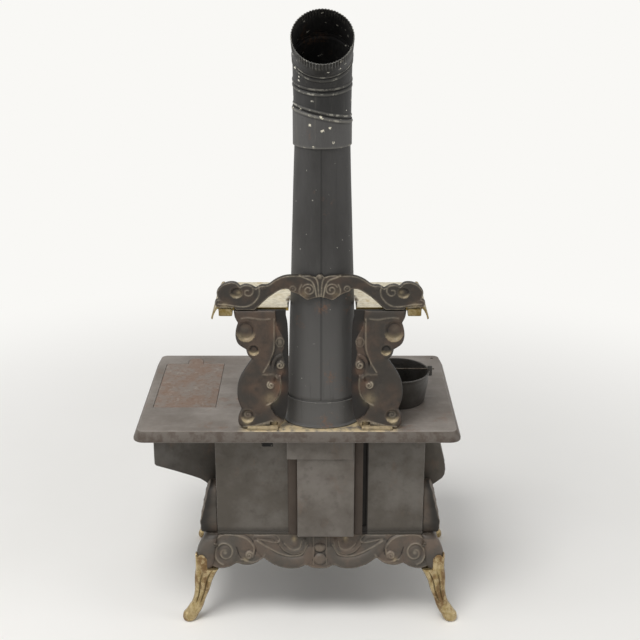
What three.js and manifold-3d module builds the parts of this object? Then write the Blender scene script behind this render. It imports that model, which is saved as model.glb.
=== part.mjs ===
// Cast iron toy range on four cabriole legs, with a firebox at the left, an oven in the middle, a water
// reservoir at the right, a high shelf on two scrolled brackets and a stovepipe with an adjustable elbow.
// Millimetres. +X is the right-hand side seen from the doors, +Y is the back, +Z is up.
import * as THREE from 'three';
import * as BufferGeometryUtils from 'three/addons/utils/BufferGeometryUtils.js';
import Module from 'manifold-3d';

const wasm = await Module();
wasm.setup();

// Fits
const castGap = 0.3;
const runGap = 0.6;
const overrun = 4;

// Base: skirts, floor and legs
const skirtBottom = 89;
const skirtHeight = 49;
const skirtWall = 5;
const skirtTopReachX = 13;
const skirtTopReachY = 2;
const skirtFlareX = 19;
const skirtFlareY = 15;
const floorThickness = 4;
const legPostTopGap = 19;
const legPostSide = 18;
const legPostTopShare = 0.9;
const legTopWidthX = 34;
const legTopWidthY = 32;
const legFootSplayX = 22;
const legTabTopGap = 7;
const legTabSide = 14;
const legScrewRadius = 2;
const legScrewHeadRadius = 3.6;
const legScrewHeadHeight = 2;
const legScrewDrop = 6;
const legScrewBite = 5;

// Body
const bodyWidth = 294;
const bodyDepth = 224;
const bodyHeight = 165.5;
const panelWall = 4;
const rodRadius = 2;
const rodBossRadius = 4.5;
const rodBossDepth = 8;
const nutRadius = 4;
const nutHeight = 3;

// Flue box on the back
const flueCentreX = -8;
const flueFaceWidth = 80;
const flueDepth = 16;
const flueMoulding = 12;
const flueMouldingDepth = 9;
const flueWall = 3;
const flueWindowInset = 8;
const flueGrooveWidth = 5.5;
const flueGrooveDepth = 3;
const flueBandWidth = 92;
const flueBandHeight = 27;
const flueBandWall = 3;
const flueBandDrop = 21;
const damperSlotWidth = 15;
const damperSlotHeight = 3.5;
const damperSlotX = 82;

// Scroll ornament on the ends
const endScrollDepth = 210;
const endScrollShift = 5;
const endScrollHeight = 76;
const endScrollBulge = 27;
const endScrollTopBulge = 11;

// Cooktop
const topThickness = 6;
const topBevel = 6.5;
const topFlange = 15;
const topFlangeWall = 5;
const topCornerRadius = 9;
const topOverhangLeft = 40;
const topOverhangRight = 10;
const topOverhangY = 28;
const hangHoleRadius = 2.5;
const hangHoleInset = 11;

// Lids and kettle
const lidRadius = 40;
const lidThickness = 3;
const lidLedge = 4;
const lidColumnLeftX = -108;
const lidColumnRightX = 30;
const lidRowBackY = 15;
const lidRowSpace = 8;
const lidPocketShare = 0.62;
const lidPocketLength = 12;
const lidPocketWidth = 5;
const lidPocketDepth = 1.6;
const kettleX = -110;
const kettleY = 30;
const kettleBaseRadius = 41;
const kettleRimRadius = 47.5;
const kettleHeight = 45;
const kettleWall = 1.8;
const kettleLipShare = 1.6;
const kettleEarWidth = 8;
const kettleEarRise = 6;
const kettleEarReach = 4.6;
const kettleEarEye = 1.9;
const bailWire = 1.1;
const bailSagitta = 36;

// Reservoir on the right end
const reservoirWidth = 92.7;
const reservoirFrontInset = 2;
const reservoirBackInset = 47;
const reservoirWall = 3;
const reservoirOuterHeight = 90;
const reservoirInnerHeight = 121;
const tankWall = 1.2;
const tankGap = 3;
const tankFloorSpace = 30;
const coverWidth = 89;
const coverEndInset = 4;
const coverThickness = 3;
const coverLedge = 4;
const coverTabRadius = 11.5;
const coverTabReach = 22;

// Fire pouch on the left end
const pouchDepth = 165;
const pouchCentreY = -12;
const pouchWall = 4;
const pouchBottomRise = 52;
const pouchReach = 34;
const feedDoorThickness = 3;
const feedHingeRadius = 2;

// Firebox
const fireboxWidth = 70;
const fireboxPlate = 3;
const fireboxSideDrop = 16;
const fireboxBackInset = 56;
const liningWall = 5;
const liningGrateSpace = 12;
const liningTopDrop = 6;
const grateDrawerSpace = 11;
const grateThickness = 4;
const grateBarWidth = 5;
const grateBars = 9;
const grateShankRadius = 3.2;
const grateShankReach = 14;

// Oven
const ovenMouthEase = 0.5;
const ovenHeadSpace = 21;
const ovenRise = 17;
const ovenWall = 2.5;
const rackWire = 2.4;
const rackWires = 9;
const rackRise = 52;
const rackLedge = 3;

// Doors at the front
const doorThickness = 4;
const doorLap = 5;
const hingeOffset = 5;
const hingePinRadius = 1.8;
const hingeKnuckleRadius = 4;
const hingeKnuckleHeight = 9;
const hingeLugHeight = 6;
const ovenDoorLeftInset = 37.7;
const ovenDoorDrop = 26;
const ovenDoorRise = 20;
const ovenDoorInset = 14;
const fireDoorWidth = 58;
const fireDoorHeight = 44;
const fireDoorDrop = 18;
const fireDoorInset = 14;
const handlePostRadius = 2;
const handleStandoff = 9;
const handleLength = 26;
const handleGripRadius = 3;

// Ash drawer with its draft slide
const drawerWidth = 52;
const drawerBackSpace = 18.6;
const drawerHeight = 34;
const drawerWall = 2;
const drawerFrontWidth = 62;
const drawerFrontHeight = 42;
const drawerFrontThickness = 4;
const knobRadius = 5;
const knobStem = 2.2;
const knobReach = 11;
const draftWidth = 40;
const draftHeight = 12;
const draftThickness = 2;
const draftHoleRadius = 3.5;
const draftHolePitch = 12;
const draftRailHeight = 2.4;
const draftTravel = 6;

// Shelf brackets
const bracketHeight = 171.4;
const bracketReach = 113;
const bracketBackInset = 4;
const bracketThickness = 12;
const bracketPadHeight = 5;
const bracketPadInnerX = 57;
const bracketPadOuterX = 99;
const bracketPadFrontReach = 12;
const bracketPadLip = 3;
const bracketBoltX = 63;
const bracketBoltRadius = 2.2;
const boltHeadSide = 7;
const boltHeadHeight = 3;

// Shelf and crest
const shelfHalfWidth = 135;
const shelfThickness = 5.5;
const shelfDepth = 109;
const shelfNotchRadius = 48;
const shelfLipReach = 10;
const shelfLipDrop = 18;
const shelfLipWall = 3;
const shelfLugInnerX = 116;
const shelfLugWidth = 18;
const shelfLugHeight = 10;
const crestHalfWidth = 138;
const crestRise = 50;
const crestThickness = 10;

// Stovepipe and elbow
const pipeX = -3;
const pipeBackInset = 45.5;
const pipeBaseHalfWidth = 49;
const pipeBaseHalfDepth = 35.5;
const pipeTopRadius = 36.5;
const sheetWall = 1.1;
const collarHeight = 37;
const collarFoot = 4;
const collarFootHeight = 2.2;
const pipeTaperHeight = 386;
const pipeSpigot = 20;
const seamTurnTilt = 12;
const goreTilt = 13;
const elbowCollarHeight = 42;
const goreOneLength = 38;
const goreTwoLength = 37;
const elbowEndLength = 45;
const elbowRadius = 38;
const elbowBead = 1.2;
const elbowBeadWidth = 6;
const elbowRimRadius = 39.6;
const seamGap = 0.5;

// Heights and planes that follow from the sizes above
const skirtTop = skirtBottom + skirtHeight;
const legPostRise = skirtHeight - legPostTopGap;
const legTabRise = skirtHeight - legTabTopGap;
const legScrewRise = legTabRise - legScrewDrop;
const floorZ = skirtTop + castGap;
const bodyBottom = floorZ + floorThickness + castGap;
const bodyTop = bodyBottom + bodyHeight;
const topUnder = bodyTop + castGap;
const topZ = topUnder + topThickness;
const sideX = bodyWidth / 2;
const faceY = bodyDepth / 2;
const reservoirInnerX = sideX + castGap;
const reservoirOuterX = reservoirInnerX + reservoirWidth;
const reservoirCentreX = (reservoirInnerX + reservoirOuterX) / 2;
const topLeftX = -sideX - topOverhangLeft;
const topRightX = reservoirOuterX + topOverhangRight;
const topEdgeY = faceY + topOverhangY;
const flueBackY = faceY + flueDepth;
const bracketBackY = topEdgeY - bracketBackInset;
const bracketFrontY = bracketBackY - bracketThickness;
const bracketTop = topZ + castGap + bracketHeight;
const crestBackY = bracketBackY;
const crestFrontY = crestBackY - crestThickness;
const shelfBackY = crestFrontY - castGap;
const shelfUnder = bracketTop - shelfThickness / 2;
const shelfTop = shelfUnder + shelfThickness;
const crestBottom = bracketTop + castGap;
const pipeY = topEdgeY - pipeBackInset;
const reservoirFront = -faceY + reservoirFrontInset;
const reservoirBack = faceY - reservoirBackInset;
const reservoirDepth = reservoirBack - reservoirFront;
const reservoirCentreY = (reservoirFront + reservoirBack) / 2;
const coverDepth = reservoirDepth - coverEndInset * 2;
const pouchFront = pouchCentreY - pouchDepth / 2;
const pouchBack = pouchCentreY + pouchDepth / 2;
const pouchTop = bodyTop - castGap;
const pouchHeight = bodyHeight - pouchBottomRise;
const fireboxSideX = -sideX + panelWall + castGap + fireboxWidth;
const lidRowPitch = lidRadius * 2 + lidRowSpace;
const tankHeight = reservoirOuterHeight - tankFloorSpace;
const grateRise = drawerFrontHeight + grateDrawerSpace;
const liningBottomRise = grateRise + liningGrateSpace;
const fireboxBackY = faceY - fireboxBackInset;
const ovenDoorRight = sideX - ovenDoorInset;
const ovenDoorLeft = fireboxSideX + ovenDoorLeftInset;
const ovenDoorWidth = ovenDoorRight - ovenDoorLeft;
const ovenDoorHeight = bodyHeight - ovenDoorRise - ovenDoorDrop;
const ovenWidth = ovenDoorWidth - doorLap * 2 + (ovenWall + ovenMouthEase) * 2;
const ovenHeight = bodyHeight - ovenRise - ovenHeadSpace;
const ovenLeft = (ovenDoorLeft + ovenDoorRight - ovenWidth) / 2;
const ovenRight = ovenLeft + ovenWidth;

// Materials
const castIron = { color: 0x5f5a55, roughness: 0.62, metalness: 0.75 };
const darkIron = { color: 0x453d36, roughness: 0.66, metalness: 0.7 };
const rustyIron = { color: 0x7d6454, roughness: 0.75, metalness: 0.5 };
const sheetIron = { color: 0x484747, roughness: 0.5, metalness: 0.8 };
const platedBrass = { color: 0xb49e64, roughness: 0.35, metalness: 0.9 };
const platedNickel = { color: 0xd8cfb8, roughness: 0.35, metalness: 0.85 };
const steelScrew = { color: 0x6a655e, roughness: 0.5, metalness: 0.85 };
const tinnedSheet = { color: 0x8d8b84, roughness: 0.45, metalness: 0.85 };
const fireclay = { color: 0x6b5c50, roughness: 0.9, metalness: 0.05 };

const stove = new THREE.Group();

function addPiece(name, geometry, finish) {
  const mesh = new THREE.Mesh(geometry, new THREE.MeshStandardMaterial(finish));
  mesh.name = name;
  stove.add(mesh);
  return mesh;
}

// Closed meshes in and out of the solid library

function weld(geometry) {
  const bare = geometry.clone();
  for (const name of Object.keys(bare.attributes)) {
    if (name !== 'position') {
      bare.deleteAttribute(name);
    }
  }
  return BufferGeometryUtils.mergeVertices(bare);
}

function toSolid(geometry) {
  const merged = weld(geometry);
  return new wasm.Manifold(new wasm.Mesh({
    numProp: 3,
    vertProperties: new Float32Array(merged.attributes.position.array),
    triVerts: new Uint32Array(merged.index.array),
  }));
}

function toGeometry(solid) {
  const mesh = solid.getMesh();
  const geometry = new THREE.BufferGeometry();
  geometry.setAttribute('position', new THREE.BufferAttribute(new Float32Array(mesh.vertProperties), 3));
  geometry.setIndex(new THREE.BufferAttribute(new Uint32Array(mesh.triVerts), 1));
  geometry.computeVertexNormals();
  return geometry;
}

function join(...geometries) {
  return toGeometry(geometries.map(toSolid).reduce((sum, solid) => sum.add(solid)));
}

function cut(geometry, ...cutters) {
  return toGeometry(cutters.map(toSolid).reduce((rest, solid) => rest.subtract(solid), toSolid(geometry)));
}

// Plain bodies placed by their limits

function block(x0, x1, y0, y1, z0, z1) {
  const geometry = new THREE.BoxGeometry(x1 - x0, y1 - y0, z1 - z0);
  return geometry.translate((x0 + x1) / 2, (y0 + y1) / 2, (z0 + z1) / 2);
}

function upright(x, y, z0, z1, radius, sides = 16) {
  const geometry = new THREE.CylinderGeometry(radius, radius, z1 - z0, sides).rotateX(Math.PI / 2);
  return geometry.translate(x, y, (z0 + z1) / 2);
}

function rodAlongY(x, z, y0, y1, radius, sides = 16) {
  const geometry = new THREE.CylinderGeometry(radius, radius, y1 - y0, sides);
  return geometry.translate(x, (y0 + y1) / 2, z);
}

function rodAlongX(y, z, x0, x1, radius, sides = 16) {
  const geometry = new THREE.CylinderGeometry(radius, radius, x1 - x0, sides).rotateZ(Math.PI / 2);
  return geometry.translate((x0 + x1) / 2, y, z);
}

// A plate with an outline in its own u, v plane. place(u, v, w) gives the point in space, where w runs
// from 0 on one face to 1 on the other. flip is for places that mirror the plate.
function plate(outline, place, flip = false) {
  const shape = new THREE.Shape(outline);
  const geometry = weld(new THREE.ExtrudeGeometry(shape, { depth: 1, bevelEnabled: false, steps: 1 }));
  const position = geometry.attributes.position;
  const point = new THREE.Vector3();
  for (let i = 0; i < position.count; i += 1) {
    point.fromBufferAttribute(position, i);
    position.setXYZ(i, ...place(point.x, point.y, point.z));
  }
  if (flip) {
    const index = geometry.index;
    for (let i = 0; i < index.count; i += 3) {
      const first = index.getX(i);
      index.setX(i, index.getX(i + 1));
      index.setX(i + 1, first);
    }
  }
  return geometry;
}

// Runs of points, each joined by a smooth curve, with a corner where one run meets the next
function smoothRuns(runs, stepsPerPoint) {
  const outline = [];
  for (const run of runs) {
    const curve = new THREE.CatmullRomCurve3(run.map(([u, v]) => new THREE.Vector3(u, v, 0)));
    const steps = run.length > 2 ? (run.length - 1) * stepsPerPoint : 1;
    for (const point of curve.getPoints(steps).slice(0, -1)) {
      outline.push(new THREE.Vector2(point.x, point.y));
    }
  }
  return outline;
}

function scaled(run, scaleU, scaleV) {
  return run.map(([u, v]) => [u * scaleU, v * scaleV]);
}

function mirroredRuns(runs) {
  return runs.map((run) => run.map(([u, v]) => [-u, v]).reverse()).reverse();
}

function roundedRectangle(x0, x1, y0, y1, radius, stepsPerCorner = 5) {
  const corners = [
    [x1 - radius, y1 - radius, 0],
    [x0 + radius, y1 - radius, Math.PI / 2],
    [x0 + radius, y0 + radius, Math.PI],
    [x1 - radius, y0 + radius, Math.PI * 1.5],
  ];
  const points = [];
  for (const [x, y, start] of corners) {
    for (let i = 0; i <= stepsPerCorner; i += 1) {
      const angle = start + (Math.PI / 2) * (i / stepsPerCorner);
      points.push(new THREE.Vector2(x + radius * Math.cos(angle), y + radius * Math.sin(angle)));
    }
  }
  return points;
}

// A closed body through rings of points, each ring counter-clockwise seen from the end of the body.
// With an inner set of rings the body is a tube.
function loft(outerRings, innerRings = null) {
  const count = outerRings[0].length;
  const positions = [];
  const faces = [];
  const addRing = (ring) => {
    const start = positions.length / 3;
    for (const point of ring) {
      positions.push(point.x, point.y, point.z);
    }
    return start;
  };
  const skin = (lower, upper, inward) => {
    for (let i = 0; i < count; i += 1) {
      const j = (i + 1) % count;
      if (inward) {
        faces.push(lower + i, upper + i, lower + j, lower + j, upper + i, upper + j);
      } else {
        faces.push(lower + i, lower + j, upper + i, lower + j, upper + j, upper + i);
      }
    }
  };
  const cap = (ring, start, upward) => {
    const centre = ring.reduce((sum, point) => sum.add(point), new THREE.Vector3()).divideScalar(count);
    positions.push(centre.x, centre.y, centre.z);
    const middle = positions.length / 3 - 1;
    for (let i = 0; i < count; i += 1) {
      const j = (i + 1) % count;
      if (upward) {
        faces.push(middle, start + i, start + j);
      } else {
        faces.push(middle, start + j, start + i);
      }
    }
  };
  const outer = outerRings.map(addRing);
  for (let k = 1; k < outer.length; k += 1) {
    skin(outer[k - 1], outer[k], false);
  }
  if (innerRings) {
    const inner = innerRings.map(addRing);
    for (let k = 1; k < inner.length; k += 1) {
      skin(inner[k - 1], inner[k], true);
    }
    skin(inner[0], outer[0], false);
    skin(outer[outer.length - 1], inner[inner.length - 1], false);
  } else {
    cap(outerRings[0], outer[0], false);
    cap(outerRings[outerRings.length - 1], outer[outer.length - 1], true);
  }
  const geometry = new THREE.BufferGeometry();
  geometry.setAttribute('position', new THREE.Float32BufferAttribute(positions, 3));
  geometry.setIndex(faces);
  geometry.computeVertexNormals();
  return geometry;
}

function ellipseRing(x, y, z, halfX, halfY, sides) {
  const ring = [];
  for (let i = 0; i < sides; i += 1) {
    const angle = (2 * Math.PI * i) / sides;
    ring.push(new THREE.Vector3(x + halfX * Math.cos(angle), y + halfY * Math.sin(angle), z));
  }
  return ring;
}

// Legs. The stations run from the floor to the top of the post, as shares of the heights and widths
// named above.
const legStationShares = [
  // height, outer edge, width in X, outer edge in Y, width in Y
  [0, 0.74, 0.38, -0.24, 0.38],
  [0.04, 1, 0.6, -0.06, 0.56],
  [0.1, 0.98, 0.67, -0.06, 0.6],
  [0.175, 0.8, 0.67, -0.08, 0.58],
  [0.265, 0.56, 0.62, -0.1, 0.54],
  [0.42, 0.24, 0.55, -0.12, 0.48],
  [0.595, 0.13, 0.65, -0.08, 0.54],
  [0.75, 0.12, 0.76, -0.03, 0.66],
  [0.905, 0.07, 0.91, 0, 0.82],
  [0.995, 0, 1, 0, 1],
];
const skirtHalfX = sideX + skirtTopReachX;
const skirtHalfY = faceY + skirtTopReachY;
const flareAt = (v) => 1 - v / skirtHeight;
const legCornerX = sideX + skirtTopReachX + skirtFlareX + castGap;
const legCornerY = faceY + skirtTopReachY + skirtFlareY + castGap;

function legRing(outerX, widthX, outerY, widthY, z, swell = 0) {
  const ring = [];
  const sides = 12;
  const roundness = 0.55;
  for (let i = 0; i < sides; i += 1) {
    const angle = (2 * Math.PI * (i + 0.5)) / sides;
    const c = Math.cos(angle);
    const s = Math.sin(angle);
    const x = outerX - widthX / 2 + (widthX / 2 + swell) * Math.sign(c) * Math.abs(c) ** roundness;
    const y = outerY - widthY / 2 + (widthY / 2 + swell) * Math.sign(s) * Math.abs(s) ** roundness;
    ring.push(new THREE.Vector3(x, y, z));
  }
  return ring;
}

function makeLeg(swell = 0) {
  const rings = legStationShares.map(([h, outX, wideX, outY, wideY]) => legRing(
    legCornerX + outX * legFootSplayX,
    wideX * legTopWidthX,
    legCornerY + outY * legTopWidthY,
    wideY * legTopWidthY,
    h * skirtBottom,
    swell,
  ));
  const postBottom = skirtBottom + castGap;
  rings.push(legRing(legCornerX, legPostSide, legCornerY, legPostSide, postBottom, swell));
  rings.push(legRing(legCornerX, legPostSide, legCornerY, legPostSide, skirtBottom + legPostRise / 2, swell));
  const crownSide = legPostSide * legPostTopShare;
  rings.push(legRing(legCornerX, crownSide, legCornerY, crownSide, skirtBottom + legPostRise + swell, swell));
  return loft(rings);
}

// The inner side of the skirt walls at a height above their lower edge
const wallX = (v) => skirtHalfX + skirtFlareX * flareAt(v) - skirtWall - castGap;
const wallY = (v) => skirtHalfY + skirtFlareY * flareAt(v) - skirtWall - castGap;

// The leg's post stands in the open corner of the skirts, and its tab behind their walls
function makeWholeLeg() {
  const tabX = wallX(legTabRise);
  const tabY = wallY(legTabRise);
  const heelX = wallX(legPostRise);
  const heelY = wallY(legPostRise);
  return join(
    makeLeg(),
    block(tabX - legTabSide, heelX, tabY - legTabSide, heelY, skirtBottom, skirtBottom + legPostRise),
    block(tabX - legTabSide, tabX, tabY - legTabSide, tabY, skirtBottom, skirtBottom + legTabRise),
  );
}

// A screw through the back skirt into the tab of the leg
function makeLegScrew(grow = 0) {
  const z = skirtBottom + legScrewRise;
  const y = skirtHalfY + skirtFlareY * flareAt(legScrewRise - legScrewHeadRadius);
  const x = wallX(legTabRise) - legTabSide / 2;
  const bite = wallY(legTabRise) - legScrewBite;
  return join(
    rodAlongY(x, z, bite - grow, y + castGap * 2, legScrewRadius + grow, 12),
    rodAlongY(x, z, y + castGap, y + castGap + legScrewHeadHeight, legScrewHeadRadius + grow, 14),
  );
}

function turned(geometry, signX, signY) {
  const copy = geometry.clone();
  copy.scale(signX, signY, 1);
  if (signX * signY < 0) {
    const index = copy.index;
    for (let i = 0; i < index.count; i += 3) {
      const first = index.getX(i);
      index.setX(i, index.getX(i + 1));
      index.setX(i + 1, first);
    }
  }
  copy.computeVertexNormals();
  return copy;
}

const corners = [
  ['back_right', 1, 1],
  ['back_left', -1, 1],
  ['front_right', 1, -1],
  ['front_left', -1, -1],
];
const leg = cut(makeWholeLeg(), makeLegScrew(castGap));
const skirtCutters = corners.flatMap(([, signX, signY]) => [
  turned(makeLeg(castGap), signX, signY),
  turned(makeLegScrew(castGap), signX, signY),
]);
for (const [corner, signX, signY] of corners) {
  addPiece(`leg_${corner}`, turned(leg, signX, signY), platedBrass);
  addPiece(`leg_screw_${corner}`, turned(makeLegScrew(), signX, signY), steelScrew);
}

// Skirts. The lower edge is a row of lobes, given from the middle to one end as shares of half the length
// and of the height.
const skirtEdgeShares = [
  [[0, 0], [0.06, 0.02], [0.12, 0.13]],
  [[0.12, 0.13], [0.18, 0.02], [0.24, 0], [0.34, 0.07], [0.45, 0.32]],
  [[0.45, 0.32], [0.52, 0.15], [0.6, 0.1], [0.67, 0.16]],
  [[0.67, 0.16], [0.73, 0.05], [0.81, 0.01], [0.88, 0.1], [0.93, 0.28]],
  [[0.93, 0.28], [0.965, 0.62]],
  [[0.965, 0.62], [0.91, 1]],
];

function skirtOutline(halfLength, halfTop) {
  const half = skirtEdgeShares.map((run) => scaled(run, halfLength, skirtHeight));
  half[5][1][0] = halfTop;
  half[4][1][0] = halfLength + (halfTop - halfLength) * skirtEdgeShares[4][1][1];
  half[5][0][0] = half[4][1][0];
  const rest = mirroredRuns(half);
  return smoothRuns([...half, [[halfTop, skirtHeight], [-halfTop, skirtHeight]], ...rest], 4);
}

function longSkirt(sign) {
  const outline = skirtOutline(skirtHalfX + skirtFlareX, skirtHalfX);
  const place = (u, v, w) => {
    const y = skirtHalfY + skirtFlareY * flareAt(v) - skirtWall * w;
    return [u, sign * y, skirtBottom + v];
  };
  return cut(plate(outline, place, sign < 0), ...skirtCutters);
}

function endSkirt(sign) {
  const clear = skirtWall + castGap;
  const outline = skirtOutline(skirtHalfY + skirtFlareY - clear, skirtHalfY - clear);
  const place = (u, v, w) => {
    const x = skirtHalfX + skirtFlareX * flareAt(v) - skirtWall * w;
    return [sign * x, u, skirtBottom + v];
  };
  return cut(plate(outline, place, sign > 0), ...skirtCutters);
}

addPiece('skirt_back', longSkirt(1), castIron);
addPiece('skirt_front', longSkirt(-1), castIron);
addPiece('skirt_right', endSkirt(1), castIron);
addPiece('skirt_left', endSkirt(-1), castIron);

// Floor and tie rods
const rodPlaces = [
  ['left', (fireboxSideX + fireboxPlate + ovenLeft) / 2, 0],
  ['right', (ovenRight + sideX - panelWall) / 2, 0],
];
const rodTop = topUnder - rodBossDepth / 2;

function makeFloor() {
  const slab = block(-sideX, sideX, -faceY, faceY, floorZ, floorZ + floorThickness);
  const holes = rodPlaces.map(([, x, y]) => upright(x, y, floorZ - overrun,
    floorZ + floorThickness + overrun, rodRadius + castGap));
  return cut(slab, ...holes);
}
addPiece('bottom_plate', makeFloor(), castIron);

for (const [side, x, y] of rodPlaces) {
  addPiece(`tie_rod_${side}`, join(
    upright(x, y, floorZ - castGap - nutHeight, rodTop, rodRadius),
    upright(x, y, floorZ - castGap - nutHeight, floorZ - castGap, nutRadius, 6),
  ), steelScrew);
}

// Back panel, with the window behind the flue box, a moulding on each side of the box, a sunk groove beyond
// the left moulding, and the damper slot
const flueHalf = flueFaceWidth / 2;
const flueLeft = flueCentreX - flueHalf;
const flueRight = flueCentreX + flueHalf;

function makeBackPanel() {
  const sheet = block(-sideX, sideX, faceY - panelWall, faceY, bodyBottom, bodyTop);
  const mouldings = [-1, 1].map((side) => {
    const inner = flueCentreX + side * (flueHalf + castGap);
    const outer = inner + side * flueMoulding;
    return block(Math.min(inner, outer), Math.max(inner, outer), faceY - panelWall / 2,
      faceY + flueMouldingDepth, bodyBottom, bodyTop);
  });
  const window = block(flueLeft + flueWindowInset, flueRight - flueWindowInset, faceY - panelWall - overrun,
    faceY + overrun, bodyBottom + flueWindowInset, bodyTop + overrun);
  const slotTop = topUnder - topFlange - damperSlotHeight;
  const slot = block(damperSlotX - damperSlotWidth / 2, damperSlotX + damperSlotWidth / 2,
    faceY - panelWall - overrun, faceY + overrun, slotTop - damperSlotHeight, slotTop);
  const grooveRight = flueCentreX - flueHalf - castGap - flueMoulding;
  const groove = block(grooveRight - flueGrooveWidth, grooveRight, faceY - flueGrooveDepth, faceY + overrun,
    bodyBottom + flueWindowInset, bodyTop + overrun);
  return cut(join(sheet, ...mouldings), window, slot, groove);
}
addPiece('back_panel', makeBackPanel(), castIron);

// Flue box: open towards the window and at the top
const flueBoxBottom = bodyBottom;
function makeFlueBox() {
  const shell = block(flueLeft, flueRight, faceY + castGap, flueBackY, flueBoxBottom, bodyTop);
  const hollow = block(flueLeft + flueWall, flueRight - flueWall, faceY - overrun, flueBackY - flueWall,
    flueBoxBottom + flueWall, bodyTop + overrun);
  return cut(shell, hollow);
}
addPiece('flue_box', makeFlueBox(), castIron);

const bandTop = topZ - flueBandDrop;
addPiece('flue_band', block(-flueBandWidth / 2, flueBandWidth / 2, flueBackY + castGap,
  flueBackY + castGap + flueBandWall, bandTop - flueBandHeight, bandTop), castIron);

// Firebox walls
const frontInnerY = -faceY + panelWall + castGap;
const backInnerY = faceY - panelWall - castGap;
const sideInnerX = sideX - panelWall - castGap;
const shankX = -sideInnerX + fireboxWidth / 2;
const shankZ = bodyBottom + grateRise;

addPiece('firebox_side_plate', block(fireboxSideX, fireboxSideX + fireboxPlate, frontInnerY,
  fireboxBackY - castGap, bodyBottom, bodyTop - fireboxSideDrop), darkIron);
addPiece('firebox_back_plate', cut(
  block(-sideInnerX, fireboxSideX + fireboxPlate, fireboxBackY, fireboxBackY + fireboxPlate,
    bodyBottom, bodyTop),
  rodAlongY(shankX, shankZ, fireboxBackY - overrun, fireboxBackY + fireboxPlate + overrun,
    grateShankRadius + castGap, 12),
), darkIron);

// Openings in the front panel
const fireDoorLeft = -sideX + fireDoorInset;
const fireDoorTop = bodyTop - fireDoorDrop;
const ovenDoorBottom = bodyBottom + ovenDoorRise;
const ovenDoorTop = ovenDoorBottom + ovenDoorHeight;
const drawerCentreX = shankX;
const drawerBottom = bodyBottom + runGap;
const drawerFrontBottom = bodyBottom;
const doorBackY = -faceY - runGap;
const doorFrontY = doorBackY - doorThickness;
const hingeY = doorBackY - hingeOffset;

// Each door: its limits and the side of its hinge. Two lugs on the panel carry its cast pins.
const fireDoor = {
  x0: fireDoorLeft,
  x1: fireDoorLeft + fireDoorWidth,
  z0: fireDoorTop - fireDoorHeight,
  z1: fireDoorTop,
  side: -1,
};
const ovenDoor = {
  x0: ovenDoorLeft,
  x1: ovenDoorRight,
  z0: ovenDoorBottom,
  z1: ovenDoorTop,
  side: 1,
};

function hingePlaces(door) {
  const axisX = (door.side < 0 ? door.x0 : door.x1) + door.side * (hingeKnuckleRadius / 2);
  const inset = (door.z1 - door.z0) / 5;
  return [door.z0 + inset, door.z1 - inset - hingeKnuckleHeight].map((z) => [axisX, z]);
}

function hingeLugs(door) {
  return hingePlaces(door).map(([x, z]) => join(
    upright(x, hingeY, z - castGap - hingeLugHeight, z - castGap, hingeKnuckleRadius, 16),
    block(x - hingeKnuckleRadius, x + hingeKnuckleRadius, hingeY, -faceY + panelWall / 2,
      z - castGap - hingeLugHeight, z - castGap),
    upright(x, hingeY, z - castGap - hingeLugHeight / 2, z + hingeKnuckleHeight + castGap,
      hingePinRadius, 12),
  ));
}

function makeFrontPanel() {
  const sheet = block(-sideX, sideX, -faceY, -faceY + panelWall, bodyBottom, bodyTop);
  const through = (x0, x1, z0, z1) => block(x0, x1, -faceY - overrun, -faceY + panelWall + overrun, z0, z1);
  const solid = join(sheet, ...hingeLugs(fireDoor), ...hingeLugs(ovenDoor));
  return cut(
    solid,
    through(fireDoor.x0 + doorLap, fireDoor.x1 - doorLap, fireDoor.z0 + doorLap, fireDoor.z1 - doorLap),
    through(ovenDoor.x0 + doorLap, ovenDoor.x1 - doorLap, ovenDoor.z0 + doorLap, ovenDoor.z1 - doorLap),
    through(drawerCentreX - drawerWidth / 2 - runGap, drawerCentreX + drawerWidth / 2 + runGap,
      bodyBottom - overrun, drawerBottom + drawerHeight + runGap),
    rodAlongY(shankX, shankZ, -faceY - overrun, -faceY + panelWall + overrun, grateShankRadius + castGap, 12),
  );
}
addPiece('front_panel', makeFrontPanel(), castIron);

// A door leaf with two knuckles round its pins
function makeDoor(door) {
  const leaf = block(door.x0, door.x1, doorFrontY, doorBackY, door.z0, door.z1);
  const places = hingePlaces(door);
  const knuckles = places.map(([x, z]) => upright(x, hingeY, z, z + hingeKnuckleHeight,
    hingeKnuckleRadius, 16));
  const bores = places.map(([x, z]) => upright(x, hingeY, z - overrun, z + hingeKnuckleHeight + overrun,
    hingePinRadius + castGap, 12));
  const clears = places.map(([x, z]) => block(
    x - hingeKnuckleRadius - runGap, x + hingeKnuckleRadius + runGap,
    doorFrontY - overrun, doorBackY + overrun, z - castGap * 2 - hingeLugHeight - runGap, z));
  return cut(join(leaf, ...knuckles), ...bores, ...clears);
}
addPiece('fire_door', makeDoor(fireDoor), castIron);
addPiece('oven_door', makeDoor(ovenDoor), castIron);

// A bow handle that stands on two posts
function makeHandle(door) {
  const x = (door.side < 0 ? door.x1 : door.x0) + door.side * (handleGripRadius * 3);
  const z = (door.z0 + door.z1) / 2;
  const gripY = doorFrontY - castGap - handleStandoff;
  const spread = Math.min(handleLength, door.z1 - door.z0 - handleGripRadius * 4) / 2;
  const posts = [-1, 1].map((end) => rodAlongY(x, z + end * (spread - handlePostRadius * 2), gripY,
    doorFrontY - castGap, handlePostRadius, 10));
  return join(upright(x, gripY, z - spread, z + spread, handleGripRadius, 12), ...posts);
}
addPiece('fire_door_handle', makeHandle(fireDoor), platedNickel);
addPiece('oven_door_handle', makeHandle(ovenDoor), platedNickel);

// Oven: a box open at the front, hung on the front panel, with ledges for its rack
const ovenBottom = bodyBottom + ovenRise;
const ovenTop = ovenBottom + ovenHeight;
const ovenFrontY = frontInnerY;
const ovenBackY = fireboxBackY - castGap;
const rackZ = ovenBottom + rackRise;

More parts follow.
